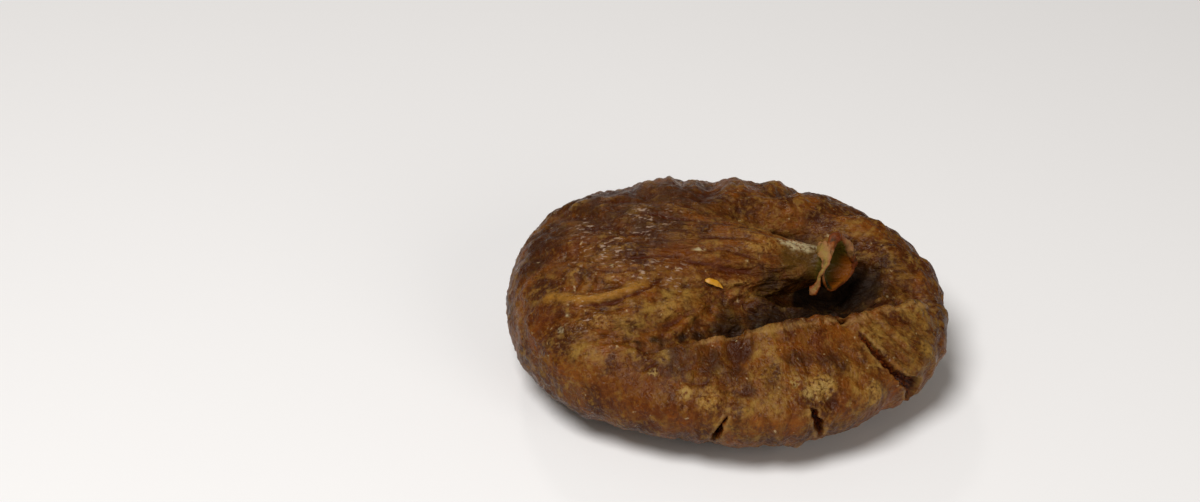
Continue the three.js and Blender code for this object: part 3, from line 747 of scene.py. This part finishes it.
def wrinkles(points, upright):
    """Puffy wrinkles with sharp creases between them, the absolute value of stretched noise, and
    the swelling between them, noise as it is. Both run sideways, and from the front to the back
    where upright is 1."""
    wandering = strayed(points, WANDER_SIZE, WANDER, SEEDS["wander"], 2)
    total = 0
    for layer, (spacing, length, height) in enumerate(WRINKLES):
        sizes = (length, spacing, spacing), (spacing, length, length)
        ways = [np.abs(noise(wandering, size, seed + layer)) for size, seed in zip(sizes, SEEDS["wrinkle"])]
        total = total + height * (mix(*ways, upright) - WRINKLE_MEAN)
    sizes = (SWELL_LENGTH, SWELL_SIZE, SWELL_SIZE), (SWELL_SIZE, SWELL_LENGTH, SWELL_LENGTH)
    ways = [rough(wandering, size, seed) for size, seed in zip(sizes, SEEDS["swell"])]
    return total, SWELL_HEIGHT * mix(*ways, upright)


def near(points, place):
    """1 in the middle of a place, falling off as a bell of its radius."""
    return bell(np.linalg.norm(points - np.array(place[:3]), axis=-1), place[3])


def mask(points, places):
    """At each point, the strongest of the places near it."""
    return np.max([near(points, place) for place in places], axis=0)


def skin_relief(points, normals, column, fall, on_neck, rib):
    """How far the skin stands out, in millimetres, and the marks that its material reads: the sum
    of the ribs, folds, wrinkles, creases and small forms, each kept to its own stretch."""
    x, y, z = np.moveaxis(points, -1, 0)
    reach, rise = section(fall)
    radius = np.hypot(x, y)
    neck = on_neck < len(NECK_RINGS)
    fruit = np.where(neck, 0, 1)
    crown = ~neck & (rise > 0)
    past_stalk = np.where(neck, ease(*PAST_STALK, on_neck), 1)
    off_floor = np.where(neck, 1, ease(*OFF_FLOOR, z))
    upper = ease(*FACES_UP, normals[..., 2]) * np.where(neck | (rise > 0), 1, 0)
    at_rim = fruit * ease(*AT_RIM_BY_REACH, reach) * ease(*AT_RIM_BY_RISE, rise)
    drop, _, behind, share = pressed_in(x, y)
    front = np.where(crown, ease(*IN_FRONT, behind), 0)
    end_on = ease(*UPRIGHT_BY_SINE, np.abs(np.sin(np.radians(column))))
    upright = fruit * end_on * np.where(crown, ease(*UPRIGHT_BY_REACH, reach), 1)

    strayed_x, strayed_y = (
        place + CREASE_STRAY * rough(points, CREASE_STRAY_SIZE, seed)
        for place, seed in zip((x, y), SEEDS["crease"])
    )
    creased, crease_shade = creases(strayed_x, strayed_y)
    ridge = upper * yellow_ridge(strayed_x, strayed_y)
    lip_crease, crest = (crown * edge for edge in lip_edges(behind, share))
    notches = crown * sum(
        deep * bell(np.hypot(x - at_x, y - at_y), size) for at_x, at_y, size, deep in NOTCHES
    )
    crest_relief = crest * CREST_RAG * rough(points, CREST_RAG_SIZE, SEEDS["crest"]) - notches
    rag = rough(points, RAG_SIZE, SEEDS["rag"], 2)
    depth, inside, split_rim = (fruit * value for value in splits(column, fall, radius, rag))
    scabs = mask(points, SCABS)
    pits = sum(pit[4] * near(points, pit) for pit in PITS)

    calm = 1 - YELLOW_RIDGE_CALMS * ridge
    wrinkled, swell = wrinkles(points, upright)
    wrinkled = wrinkled * mix(1, WRINKLES_IN_FRONT, front) * mix(1, WRINKLES_AT_RIM, at_rim)
    wrinkled = wrinkled * mix(WRINKLES_AT_FLOOR, 1, off_floor) * past_stalk * calm
    grain = GRAIN_HEIGHT * rough(points, GRAIN_SIZE, SEEDS["grain"], 2)
    grain = grain * past_stalk * off_floor * (1 + SCAB_GRAIN * scabs)
    fine = wrinkled + grain + SCAB_HEIGHT * scabs + upper * creased
    folded = np.where(crown, folds(column, reach, radius), 0)
    ribs_on_fruit = RIBS_KEPT * np.where(crown, ease(*RIBS_KEPT_BY_REACH, reach), 1)
    ribs_kept = np.where(neck, RIBS_KEPT_ON_NECK, ribs_on_fruit) * mix(1, RIBS_KEPT_AT_RIM, at_rim)
    swell = swell * past_stalk * mix(SWELL_AT_FLOOR, 1, off_floor) * np.where(neck, SWELL_ON_NECK, 1) * calm
    pulp = PULP_HEIGHT * inside * noise(points, PULP_SIZE, SEEDS["pulp"])
    relief = (
        rib * ribs(column) * ribs_kept + folded + fine + swell - depth + pulp - pits
        + SPLIT_RIM_HEIGHT * split_rim + YELLOW_RIDGE_HEIGHT * ridge - LIP_CREASE_DEPTH * lip_crease
        + crest_relief
    )
    marks = {
        # the material paints shade where this mark is low, in the skin between wrinkles
        "height": fine + HEIGHT_OF_SWELL * swell + HEIGHT_OF_FOLDS * folded - pits,
        "yellow_ridge": ridge,
        # painted shade: the material darkens the creases and the crease behind the lip by this mark
        "crease": np.maximum(lip_crease, upper * crease_shade),
        # painted highlight: the pale edge along the crest
        "crest": crest * bell(behind + CREST_HIGHLIGHT_AHEAD, CREST_HIGHLIGHT_HALF),
        "pulp": inside,
        "split_rim": split_rim,
        "scab": scabs,
        "torn": np.where(neck, ease(*TORN_FLESH, on_neck), 0),
        "upright": upright,
        # painted shade: the material colours the fold and the hollow round the neck near black by this mark
        "hollow": np.where(crown, ease(*HOLLOW_SHADE_MARK, drop), 0),
        "calm": np.where(neck, ease(*CALM_NECK, on_neck), 0),
    }
    straying = strayed(points, STRAY_SIZE, STRAY, SEEDS["places"])
    for name, places in PLACES.items():
        marks[name] = mask(straying if name in STRAYING else points, places)
    return relief, marks


def fig_skin():
    """The whole skin as one closed grid: the smooth skin moved out along its normals by the
    relief, held above the floor, and closed by a point in the mouth and one in the eye."""
    smooth, column, fall, on_neck, rib = smooth_skin()
    normals = grid_normals(smooth)
    relief, marks = skin_relief(smooth, normals, column, fall, on_neck, rib)
    points = smooth + normals * relief[..., None]
    points[..., 2] = np.maximum(points[..., 2], 0)
    return points, marks


def new_piece(name, vertices, faces, marks):
    """A piece from vertices in millimetres, arrays of faces with their numbers of sides, and marks,
    each a number for every vertex, which become its attributes."""
    mesh = bpy.data.meshes.new(name)
    mesh.vertices.add(len(vertices))
    mesh.vertices.foreach_set("co", (vertices * MM).ravel())
    corners = np.concatenate([corner.ravel() for corner, _ in faces])
    sides = np.concatenate([np.full(len(corner), count) for corner, count in faces])
    mesh.loops.add(len(corners))
    mesh.loops.foreach_set("vertex_index", corners)
    mesh.polygons.add(len(sides))
    mesh.polygons.foreach_set("loop_start", np.concatenate([[0], np.cumsum(sides)[:-1]]))
    mesh.polygons.foreach_set("use_smooth", np.ones(len(sides), bool))
    mesh.update(calc_edges=True)
    mesh.validate()
    for mark, values in marks.items():
        attribute = mesh.attributes.new(mark, "FLOAT", "POINT")
        attribute.data.foreach_set("value", values.astype(np.float32).ravel())
    piece = bpy.data.objects.new(name, mesh)
    bpy.context.scene.collection.objects.link(piece)
    return piece


def poled_mesh(name, points, marks):
    """A mesh from a grid that closes round its columns, with a pole at the mean of each end row."""
    rows, columns = points.shape[:2]

    def with_poles(values):
        whole = values.reshape((rows * columns,) + values.shape[2:])
        return np.concatenate([whole, values[[0, -1]].mean(axis=1)])

    index = np.arange(rows * columns).reshape(rows, columns)
    side = np.roll(index, -1, axis=1)
    quads = np.stack([index[:-1], index[1:], side[1:], side[:-1]], -1).reshape(-1, 4)
    first = np.stack([index[0], side[0], np.full(columns, rows * columns)], -1)
    last = np.stack([side[-1], index[-1], np.full(columns, rows * columns + 1)], -1)
    marks = {mark: with_poles(values) for mark, values in marks.items()}
    return new_piece(name, with_poles(points), [(quads, 4), (first, 3), (last, 3)], marks)


def ring_mesh(name, points, marks):
    """A mesh from a grid that closes on itself both ways."""
    rows, columns = points.shape[:2]
    index = np.arange(rows * columns).reshape(rows, columns)
    side, down = np.roll(index, -1, axis=1), np.roll(index, -1, axis=0)
    quads = np.stack([index, side, np.roll(down, -1, axis=1), down], -1).reshape(-1, 4)
    marks = {mark: values.ravel() for mark, values in marks.items()}
    return new_piece(name, points.reshape(-1, 3), [(quads, 4)], marks)


# The torn edge of the stalk's mouth: where it lies, in rings along the neck, its steps round the
# mouth and round itself, and its thickness in millimetres and its tone by direction round the mouth
RIM_ON_NECK = 3.75
RIM_STEPS, RIM_SIDES = 220, 20
RIM_RADIUS = (
    (0, 0.12), (35, 0.16), (62, 0.26), (84, 0.5), (100, 0.42), (118, 0.55), (140, 0.42),
    (162, 0.34), (184, 0.62), (203, 0.5), (225, 0.3), (250, 0.2), (270, 0.14), (300, 0.12),
    (330, 0.1),
)
RIM_TONE = (
    (0, 0.9), (50, 0.9), (76, 1), (92, 0.9), (104, 0.45), (125, 0.4), (145, 0.45), (165, 0.75),
    (180, 1), (194, 0.9), (210, 0.4), (230, 0.2), (260, 0.5), (300, 0.9),
)
RIM_FRAY_SIZE, RIM_FRAY = 0.8, 0.55

# Ribbons by their path in millimetres from the top down, the half widths and half thicknesses by
# share of the length, the way they face, and how strongly they fray: the strip that peels off the
# near side of the stalk and ends in a curl, and a yellow flake of husk that sticks to the skin
RIBBON_STEPS, RIBBON_SIDES = 110, 22
RIBBON_END_POWER, RIBBON_HOLLOW, RIBBON_FRAY_SIZE = 12, 0.36, 0.7
STRIP = {
    "path": (
        (9.5, -0.7, 16.3), (10.0, -1.6, 16.7), (10.45, -2.4, 16.1), (10.2, -2.9, 15.1), (9.75, -3.05, 14.2),
        (9.65, -3.15, 13.5), (9.45, -3.2, 12.9), (9.1, -3.2, 12.4), (8.95, -2.9, 12.2),
    ),
    "half_width": (
        (0, 0.6), (0.13, 0.95), (0.27, 0.55), (0.4, 0.24), (0.56, 0.2), (0.76, 0.42), (0.92, 0.62),
        (1, 0.5),
    ),
    "half_thick": ((0, 0.24), (0.3, 0.24), (0.6, 0.18), (0.85, 0.3), (1, 0.36)),
    "faces": (-0.25, -0.8, 0.5),
    "fray": 0.5,
}
FLAKE = {
    "path": ((-3, -5.9, 15.5), (-2.5, -6, 15.45), (-2, -6.05, 15.25), (-1.5, -6.1, 15), (-1, -6.2, 14.6)),
    "half_width": ((0, 0.2), (0.3, 0.4), (0.6, 0.34), (1, 0.08)),
    "half_thick": ((0, 0.08), (0.4, 0.12), (1, 0.06)),
    "faces": (0.1, -0.6, 0.8),
    "fray": 0.35,
}
# A ribbon's tone: at its least, and what its edges, its lower end and the fraying add. The edges
# count for less at the upper end.
TONE_LEAST, TONE_OF_EDGES, TONE_OF_LOWER_END, TONE_OF_FRAY = 0.1, 0.75, 0.25, 0.25
UPPER_EDGES, UPPER_END, LOWER_END = 0.55, (0.15, 0.5), (0.5, 1)


def torn_rim():
    """The torn edge as a fat closed line: a circle, whose radius changes and frays with noise,
    carried round the mouth's own ring."""
    direction = np.arange(RIM_STEPS) * 360 / RIM_STEPS
    guides = np.stack([neck_points(ring, direction) for ring in NECK_RINGS])
    line = through(guides, np.array([RIM_ON_NECK]))[0]
    outwards = unit(line - line.mean(axis=0))
    ahead = np.cross(unit(np.roll(line, -1, axis=0) - np.roll(line, 1, axis=0)), outwards)
    turn = (np.arange(RIM_SIDES) * 2 * np.pi / RIM_SIDES)[:, None, None]
    spoke = np.cos(turn) * outwards + np.sin(turn) * ahead
    radius = around(RIM_RADIUS, direction)
    points = line + spoke * radius[:, None]
    fray = rough(points, RIM_FRAY_SIZE, SEEDS["torn_rim"])
    points = points + spoke * (RIM_FRAY * fray * radius)[..., None]
    return points, {"tone": np.broadcast_to(around(RIM_TONE, direction), fray.shape), "fray": fray}


def ribbon(path, half_width, half_thick, faces, fray):
    """A ribbon: an ellipse, hollowed on its front, carried down the path and closed at both ends.
    Noise frays it, and its tone rises towards its edges and its lower end."""
    share = np.linspace(0, 1, RIBBON_STEPS)
    line = through(np.array(path), share * (len(path) - 1))
    tangent = unit(np.gradient(line, axis=0))
    side = unit(np.cross(tangent, np.array(faces)))
    front = np.cross(side, tangent)
    closed = np.sqrt(np.clip(1 - (2 * share - 1) ** RIBBON_END_POWER, 0, 1))
    wide, thick = closed * along(half_width, share), closed * along(half_thick, share)
    turn = (np.arange(RIBBON_SIDES) * 2 * np.pi / RIBBON_SIDES)[:, None]
    raised = np.sin(turn) + RIBBON_HOLLOW * np.cos(turn) ** 2
    points = line + (np.cos(turn) * wide)[..., None] * side + (raised * thick)[..., None] * front
    points = np.swapaxes(points, 0, 1)
    frayed = rough(points, RIBBON_FRAY_SIZE, SEEDS["ribbon"])
    points = points + (points - line[:, None]) * (fray * frayed)[..., None]
    edges = np.cos(turn.T) ** 2 * mix(UPPER_EDGES, 1, ease(*UPPER_END, share))[:, None]
    lower_end = ease(*LOWER_END, share)[:, None]
    tone = TONE_LEAST + TONE_OF_EDGES * edges + TONE_OF_LOWER_END * lower_end + TONE_OF_FRAY * frayed
    return points, {"tone": tone, "fray": frayed}


def linear(hex_colour):
    """Scene-linear red, green, blue and 1 from an sRGB hex."""
    shares = [int(hex_colour[i:i + 2], 16) / 255 for i in (1, 3, 5)]
    return tuple(s / 12.92 if s <= 0.04045 else ((s + 0.055) / 1.055) ** 2.4 for s in shares) + (1.0,)


# The Mix node's sockets by their places: the share, the two numbers and the two colours that it
# mixes, and the number and the colour that come out
SHARE, NUMBER_A, NUMBER_B, COLOUR_A, COLOUR_B = 0, 2, 3, 6, 7
MIXED_NUMBER, MIXED_COLOUR = 0, 2


def node(tree, kind, inputs, **settings):
    """Adds a node with its settings, and sets or links each of its inputs."""
    added = tree.nodes.new("ShaderNode" + kind)
    for name, value in settings.items():
        setattr(added, name, value)
    for name, value in inputs.items():
        if isinstance(value, bpy.types.NodeSocket):
            tree.links.new(value, added.inputs[name])
        else:
            added.inputs[name].default_value = value
    return added


def new_material(name, constants):
    """A material with only its principled shader, whose constant inputs are set, and its output."""
    material = bpy.data.materials.new(name)
    material.use_nodes = True
    shader = material.node_tree.nodes["Principled BSDF"]
    for socket, value in constants.items():
        shader.inputs[socket].default_value = value
    return material, material.node_tree, shader


# Patterns of the skin: the size in millimetres of what they draw, the detail, and whether they are
# drawn out along the wrinkles, which stretches them sideways or from the front to the back
SKIN_PATTERNS = {
    "zones": (8.0, 3, False),
    "blotch": (3.2, 3, False),
    "mottle": (1.3, 4, False),
    "grain": (0.42, 3, False),
    "dots": (0.8, 1, False),
    "streaks": (1.2, 4, True),
    "threads": (0.5, 3, True),
    # dashes that the painted glints are drawn with
    "glint_dashes": (0.36, 1, True),
}
PATTERN_ROUGHNESS, PATTERN_DISTORTION = 0.62, 0.4
STRETCHES = ((0.4, 1, 1), (1, 0.62, 0.62))
# The web of the finest wrinkles, drawn as coarse as it needs to show: the size of its cells and of
# what bends them, and how far it bends them, in millimetres
WEB_SIZE, WEB_BEND_SIZE, WEB_BEND = 0.62, 1.6, 1
# Layers of colour, each over the ones before: the colour, how strong it gets, and the limits
# between which each pattern or mark brings it in
SKIN_BASE = "#482207"
SKIN_LAYERS = (
    # The whole skin: brown zones, blotches, streaks and grain
    ("#62370f", 1.0, (("zones", 0.38, 0.6),)),
    ("#331504", 0.8, (("blotch", 0.52, 0.36),)),
    ("#6e3b0a", 0.75, (("blotch", 0.52, 0.66),)),
    ("#78521c", 0.65, (("streaks", 0.5, 0.68),)),
    ("#2e1204", 0.42, (("threads", 0.48, 0.36),)),
    ("#86662c", 0.6, (("mottle", 0.53, 0.7),)),
    ("#2e1303", 0.34, (("grain", 0.47, 0.33),)),
    ("#7c5a28", 0.5, (("grain", 0.52, 0.66),)),
    # Moist red brown, dusky, pale, scabbed and orange patches
    ("#4f2303", 0.92, (("warm", 0.05, 0.85), ("mottle", 0.25, 0.6))),
    ("#6f4216", 0.45, (("warm", 0.1, 0.8), ("grain", 0.5, 0.62))),
    ("#6c4518", 0.4, (("warm", 0.1, 0.8), ("streaks", 0.5, 0.62))),
    ("#301505", 0.88, (("dusk", 0.1, 0.9), ("mottle", 0.15, 0.6))),
    ("#84652d", 0.9, (("pale", 0.05, 0.9), ("mottle", 0.36, 0.63), ("grain", 0.2, 0.56))),
    ("#8e6d34", 0.85, (("scab", 0.15, 0.8), ("grain", 0.35, 0.62))),
    ("#907844", 0.85, (("crust", 0.2, 0.8), ("grain", 0.38, 0.58))),
    ("#7d430c", 0.55, (("orange", 0.1, 1), ("mottle", 0.36, 0.66))),
    # The yellow ridge, paler skin where it stands high, and painted shade where it lies low
    ("#8b6224", 0.9, (("yellow_ridge", 0.1, 1), ("mottle", 0.2, 0.52))),
    ("#8f6c34", 0.6, (("height", 0.1, 0.42), ("grain", 0.36, 0.6))),
    ("#351303", 0.82, (("height", -0.05, -0.32),)),
    ("#b5a480", 0.5, (("dots", 0.69, 0.77), ("grain", 0.46, 0.6))),
    # Painted shade: near black in the fold behind the lip and the hollow round the neck, and dark under the
    # neck
    ("#150a02", 0.97, (("hollow", 0, 0.85), ("mottle", 1.5, 0.3))),
    ("#160902", 0.85, (("painted_shade", 0.1, 0.9),)),
    # Creases darkened by painted shade, the painted highlight along the crest, the pale edges of the splits,
    # and the pulp in them
    ("#471a04", 0.85, (("crease", 0.15, 0.8), ("mottle", 0.1, 0.5))),
    ("#937243", 0.55, (("crest", 0.2, 0.9), ("mottle", 0.35, 0.6))),
    ("#94733e", 0.45, (("split_rim", 0.3, 1), ("mottle", 0.36, 0.62))),
    ("#2f0f04", 1.0, (("pulp", 0, 1),)),
    ("#6c3410", 0.8, (("pulp", 0.3, 1), ("grain", 0.48, 0.6))),
    # The neck and the inside of the torn stalk
    ("#43300c", 0.7, (("olive", 0.1, 0.8),)),
    ("#4f4212", 0.95, (("torn", 0, 1),)),
    ("#7a420a", 0.95, (("torn", 0, 1), ("mouth_red", 0.1, 0.75))),
    ("#14140a", 0.9, (("torn", 0, 1), ("mouth_green", 0.15, 0.8))),
    # Sugar bloom, and painted glints: pale dashes on the left side that stand for glints of light
    ("#a89d7c", 0.9, (("bloom", 0.1, 0.75), ("grain", 0.36, 0.6))),
    ("#a08c7c", 0.62, (("painted_glints", 0.15, 0.8), ("glint_dashes", 0.6, 0.7))),
)

# The marks that the relief leaves for the material, besides the places of colour
RELIEF_MARKS = (
    "height", "yellow_ridge", "crease", "crest", "pulp", "split_rim", "scab", "torn", "upright",
    "hollow", "calm",
)
# The skin's gloss: a waxy skin with some light under it, whose scatter is given in millimetres
SKIN_SHADER = {
    "IOR": 1.45,
    "Specular IOR Level": 0.14,
    "Subsurface Weight": 0.12,
    "Subsurface Radius": (1.0, 0.45, 0.2),
    "Subsurface Scale": 0.8 * MM,
}


def sun_dried_skin():
    """Sun-dried fig skin: brown and leathery, mottled by the sugar under it, tan on the ribs that
    rubbed the tray, red where it stayed moist, and painted shade makes it nearly black in the folds.
    It has a soft sticky gloss, in patches, over wrinkles finer than the mesh, and painted glints."""
    material, tree, shader = new_material("sun_dried_skin", SKIN_SHADER)
    where = node(tree, "TexCoord", {}).outputs["Object"]
    signal = {
        name: node(tree, "Attribute", {}, attribute_name=name).outputs["Fac"]
        for name in RELIEF_MARKS + tuple(PLACES)
    }
    sideways, onwards = (
        node(tree, "VectorMath", {0: where, 1: stretch}, operation="MULTIPLY").outputs[0]
        for stretch in STRETCHES
    )
    for name, (size, detail, drawn_out) in SKIN_PATTERNS.items():
        drawn = []
        for vector in (sideways, onwards) if drawn_out else (where,):
            drawn.append(node(tree, "TexNoise", {
                "Vector": vector, "Scale": 1 / (size * MM), "Detail": detail,
                "Roughness": PATTERN_ROUGHNESS, "Distortion": PATTERN_DISTORTION,
            }).outputs["Fac"])
        signal[name] = drawn[0]
        if drawn_out:
            ways = {SHARE: signal["upright"], NUMBER_A: drawn[0], NUMBER_B: drawn[1]}
            signal[name] = node(tree, "Mix", ways, data_type="FLOAT").outputs[MIXED_NUMBER]

    colour = linear(SKIN_BASE)
    for hex_colour, strength, limits in SKIN_LAYERS:
        share = strength
        for source, low, high in limits:
            share = node(tree, "MapRange", {
                "Value": signal[source], "From Min": low, "From Max": high, "To Min": 0.0, "To Max": share,
            }, interpolation_type="SMOOTHSTEP").outputs[0]
        layers = {SHARE: share, COLOUR_A: colour, COLOUR_B: linear(hex_colour)}
        colour = node(tree, "Mix", layers, data_type="RGBA").outputs[MIXED_COLOUR]
    tree.links.new(colour, shader.inputs["Base Color"])
    # Glossier where the mottling is dark, and dull in the fold
    gloss = node(tree, "MapRange", {
        "Value": signal["mottle"], "From Min": 0.35, "From Max": 0.62, "To Min": 0.22, "To Max": 0.5,
    }).outputs[0]
    roughness = node(tree, "MapRange", {
        "Value": signal["hollow"], "From Min": 0.0, "From Max": 0.6, "To Min": gloss, "To Max": 0.6,
    }).outputs[0]
    tree.links.new(roughness, shader.inputs["Roughness"])

    # Relief finer than the mesh: a bent web of wrinkles, threads that are faint on the neck, and grain
    bend = node(tree, "TexNoise", {"Vector": where, "Scale": 1 / (WEB_BEND_SIZE * MM), "Detail": 2})
    webs = []
    for vector in (sideways, onwards):
        bent = node(tree, "VectorMath", {
            0: bend.outputs["Color"], 1: (WEB_BEND * MM,) * 3, 2: vector,
        }, operation="MULTIPLY_ADD").outputs[0]
        edge = node(tree, "TexVoronoi", {
            "Vector": bent, "Scale": 1 / (WEB_SIZE * MM),
        }, feature="DISTANCE_TO_EDGE").outputs["Distance"]
        webs.append(node(tree, "MapRange", {
            "Value": edge, "From Min": 0.0, "From Max": 0.3,
        }, interpolation_type="SMOOTHSTEP").outputs[0])
    ways = {SHARE: signal["upright"], NUMBER_A: webs[0], NUMBER_B: webs[1]}
    web = node(tree, "Mix", ways, data_type="FLOAT").outputs[MIXED_NUMBER]
    coarse = node(tree, "Bump", {"Height": web, "Strength": 0.45, "Distance": 0.12 * MM}).outputs[0]
    lively = node(tree, "MapRange", {"Value": signal["calm"], "To Min": 0.5, "To Max": 0.12}).outputs[0]
    threads = node(tree, "Bump", {
        "Height": signal["threads"], "Strength": lively, "Distance": 0.3 * MM, "Normal": coarse,
    }).outputs[0]
    fine = node(tree, "Bump", {
        "Height": signal["grain"], "Strength": 0.6, "Distance": 0.16 * MM, "Normal": threads,
    }).outputs[0]
    tree.links.new(fine, shader.inputs["Normal"])
    return material


# Tones of the stalk's torn flesh, from the palest to the brownest, the colour between its fibres,
# and how far the fibres, whose size is in millimetres, stray from the tone around their middle
STALK_TONES = ((0.0, "#857036"), (0.25, "#806033"), (0.5, "#855a38"), (0.75, "#774012"), (1.0, "#582508"))
STALK_DARK = "#3c2410"
FIBRE_SIZE, FIBRE_STRAYS, FIBRE_MIDDLE = 0.5, 0.7, 0.35
STALK_SHADER = {
    "Roughness": 0.55,
    "Specular IOR Level": 0.15,
    "Subsurface Weight": 0.15,
    "Subsurface Radius": (1.0, 0.5, 0.2),
    "Subsurface Scale": 0.5 * MM,
}


def dried_stalk():
    """Dried stalk flesh at the tear: pale yellow-green where it faces out, pinkish tan and orange
    brown where it browned, fibrous and matt, a little see-through."""
    material, tree, shader = new_material("dried_stalk", STALK_SHADER)
    where = node(tree, "TexCoord", {}).outputs["Object"]
    tone, fray = (
        node(tree, "Attribute", {}, attribute_name=name).outputs["Fac"] for name in ("tone", "fray")
    )
    fibre = node(tree, "TexNoise", {
        "Vector": where, "Scale": 1 / (FIBRE_SIZE * MM), "Detail": 4,
    }).outputs["Fac"]
    varied = node(tree, "Math", {0: fibre, 1: FIBRE_STRAYS, 2: tone}, operation="MULTIPLY_ADD").outputs[0]
    evened = node(tree, "Math", {0: varied, 1: FIBRE_MIDDLE}, operation="SUBTRACT").outputs[0]
    colour = linear(STALK_TONES[0][1])
    for (low, _), (high, hex_colour) in zip(STALK_TONES[:-1], STALK_TONES[1:]):
        share = node(tree, "MapRange", {"Value": evened, "From Min": low, "From Max": high}).outputs[0]
        tones = {SHARE: share, COLOUR_A: colour, COLOUR_B: linear(hex_colour)}
        colour = node(tree, "Mix", tones, data_type="RGBA").outputs[MIXED_COLOUR]
    dark = node(tree, "MapRange", {"Value": fray, "From Min": -0.15, "From Max": -0.6}).outputs[0]
    tones = {SHARE: dark, COLOUR_A: colour, COLOUR_B: linear(STALK_DARK)}
    browned = node(tree, "Mix", tones, data_type="RGBA").outputs[MIXED_COLOUR]
    tree.links.new(browned, shader.inputs["Base Color"])
    bump = node(tree, "Bump", {"Height": fibre, "Strength": 0.6, "Distance": 0.15 * MM}).outputs[0]
    tree.links.new(bump, shader.inputs["Normal"])
    return material


HUSK_YELLOW, HUSK_BROWN, HUSK_PATCH_SIZE = "#b07c08", "#7c4806", 0.6


def yellow_husk():
    """A flake of dry yellow husk: thin, smooth and orange yellow, browner where noise darkens it."""
    material, tree, shader = new_material("yellow_husk", {"Roughness": 0.45})
    where = node(tree, "TexCoord", {}).outputs["Object"]
    uneven = node(tree, "TexNoise", {
        "Vector": where, "Scale": 1 / (HUSK_PATCH_SIZE * MM), "Detail": 3,
    }).outputs["Fac"]
    share = node(tree, "MapRange", {"Value": uneven, "From Min": 0.5, "From Max": 0.68}).outputs[0]
    tones = {SHARE: share, COLOUR_A: linear(HUSK_YELLOW), COLOUR_B: linear(HUSK_BROWN)}
    browned = node(tree, "Mix", tones, data_type="RGBA").outputs[MIXED_COLOUR]
    tree.links.new(browned, shader.inputs["Base Color"])
    return material


def pale_paper():
    """Matt paper of a very pale blue grey, without a sheen of its own."""
    return new_material("pale_paper", {"Base Color": linear("#eaeff8"), "Roughness": 0.9})[0]


skin = poled_mesh("fig_skin", *fig_skin())
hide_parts("fig")
stalk = dried_stalk()
for piece, material in (
    (skin, sun_dried_skin()),
    (ring_mesh("torn_rim", *torn_rim()), stalk),
    (poled_mesh("torn_strip", *ribbon(**STRIP)), stalk),
    (poled_mesh("husk_flake", *ribbon(**FLAKE)), yellow_husk()),
):
    piece.data.materials.append(material)
    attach(piece, "root")


def add_camera():
    """The photograph's camera: level, looking down, with the origin's pixel over the origin."""
    focal_pixels = PHOTO_WIDTH * LENS / SENSOR
    away = MM_PER_PIXEL * focal_pixels * MM
    right = Vector((1, 0, 0))
    ahead = Vector((0, math.cos(LOOKS_DOWN), -math.sin(LOOKS_DOWN)))
    up = Vector((0, math.sin(LOOKS_DOWN), math.cos(LOOKS_DOWN)))
    across = (ORIGIN_PIXEL[0] - PHOTO_WIDTH / 2) * away / focal_pixels
    upward = (PHOTO_HEIGHT / 2 - ORIGIN_PIXEL[1]) * away / focal_pixels
    place = -(right * across + up * upward + ahead * away)
    data = bpy.data.cameras.new("camera")
    data.lens, data.sensor_width = LENS, SENSOR
    data.clip_start = CLIP_START
    camera = bpy.data.objects.new("camera", data)
    camera.matrix_world = Matrix((
        (right.x, up.x, -ahead.x, place.x),
        (right.y, up.y, -ahead.y, place.y),
        (right.z, up.z, -ahead.z, place.z),
        (0, 0, 0, 1),
    ))
    bpy.context.scene.collection.objects.link(camera)
    bpy.context.scene.camera = camera


# Soft round lights: the place in metres, the width across, the power in watts and the colour
LIGHTS = {
    "key": ((-0.14, -0.2, 0.44), 0.24, 2.35, "#fff8ee"),
    "fill": ((0.35, -0.45, 0.25), 0.4, 1.0, "#fff4e6"),
    "back": ((-0.1, 0.4, 0.3), 0.06, 0.22, "#fff4e8"),
}
LIGHTS_AIM = (0, 0, 0.01)
STUDIO_COLOUR, STUDIO_STRENGTH = "#fff2e0", 0.15
FLOOR_WIDTH = 4


def add_light(name, place, width, watts, hex_colour):
    """A round area light at a place in metres, turned towards the middle of the fruit."""
    data = bpy.data.lights.new(name, "AREA")
    data.shape = "DISK"
    data.size = width
    data.energy = watts
    data.color = linear(hex_colour)[:3]
    light = bpy.data.objects.new(name, data)
    light.location = place
    light.rotation_euler = (Vector(LIGHTS_AIM) - Vector(place)).to_track_quat("-Z", "Y").to_euler()
    bpy.context.scene.collection.objects.link(light)


def add_floor():
    """A level square of paper under the fruit, at height 0."""
    bpy.ops.mesh.primitive_plane_add(size=FLOOR_WIDTH)
    floor = bpy.context.object
    floor.name = "floor"
    floor.data.materials.append(pale_paper())


def add_studio():
    """Dim even light from all round, and colours shown as they are."""
    world = bpy.data.worlds.new("studio")
    world.use_nodes = True
    background = world.node_tree.nodes["Background"]
    background.inputs["Color"].default_value = linear(STUDIO_COLOUR)
    background.inputs["Strength"].default_value = STUDIO_STRENGTH
    bpy.context.scene.world = world
    bpy.context.scene.view_settings.view_transform = "Standard"


add_camera()
add_floor()
for name, settings in LIGHTS.items():
    add_light(name, *settings)
add_studio()
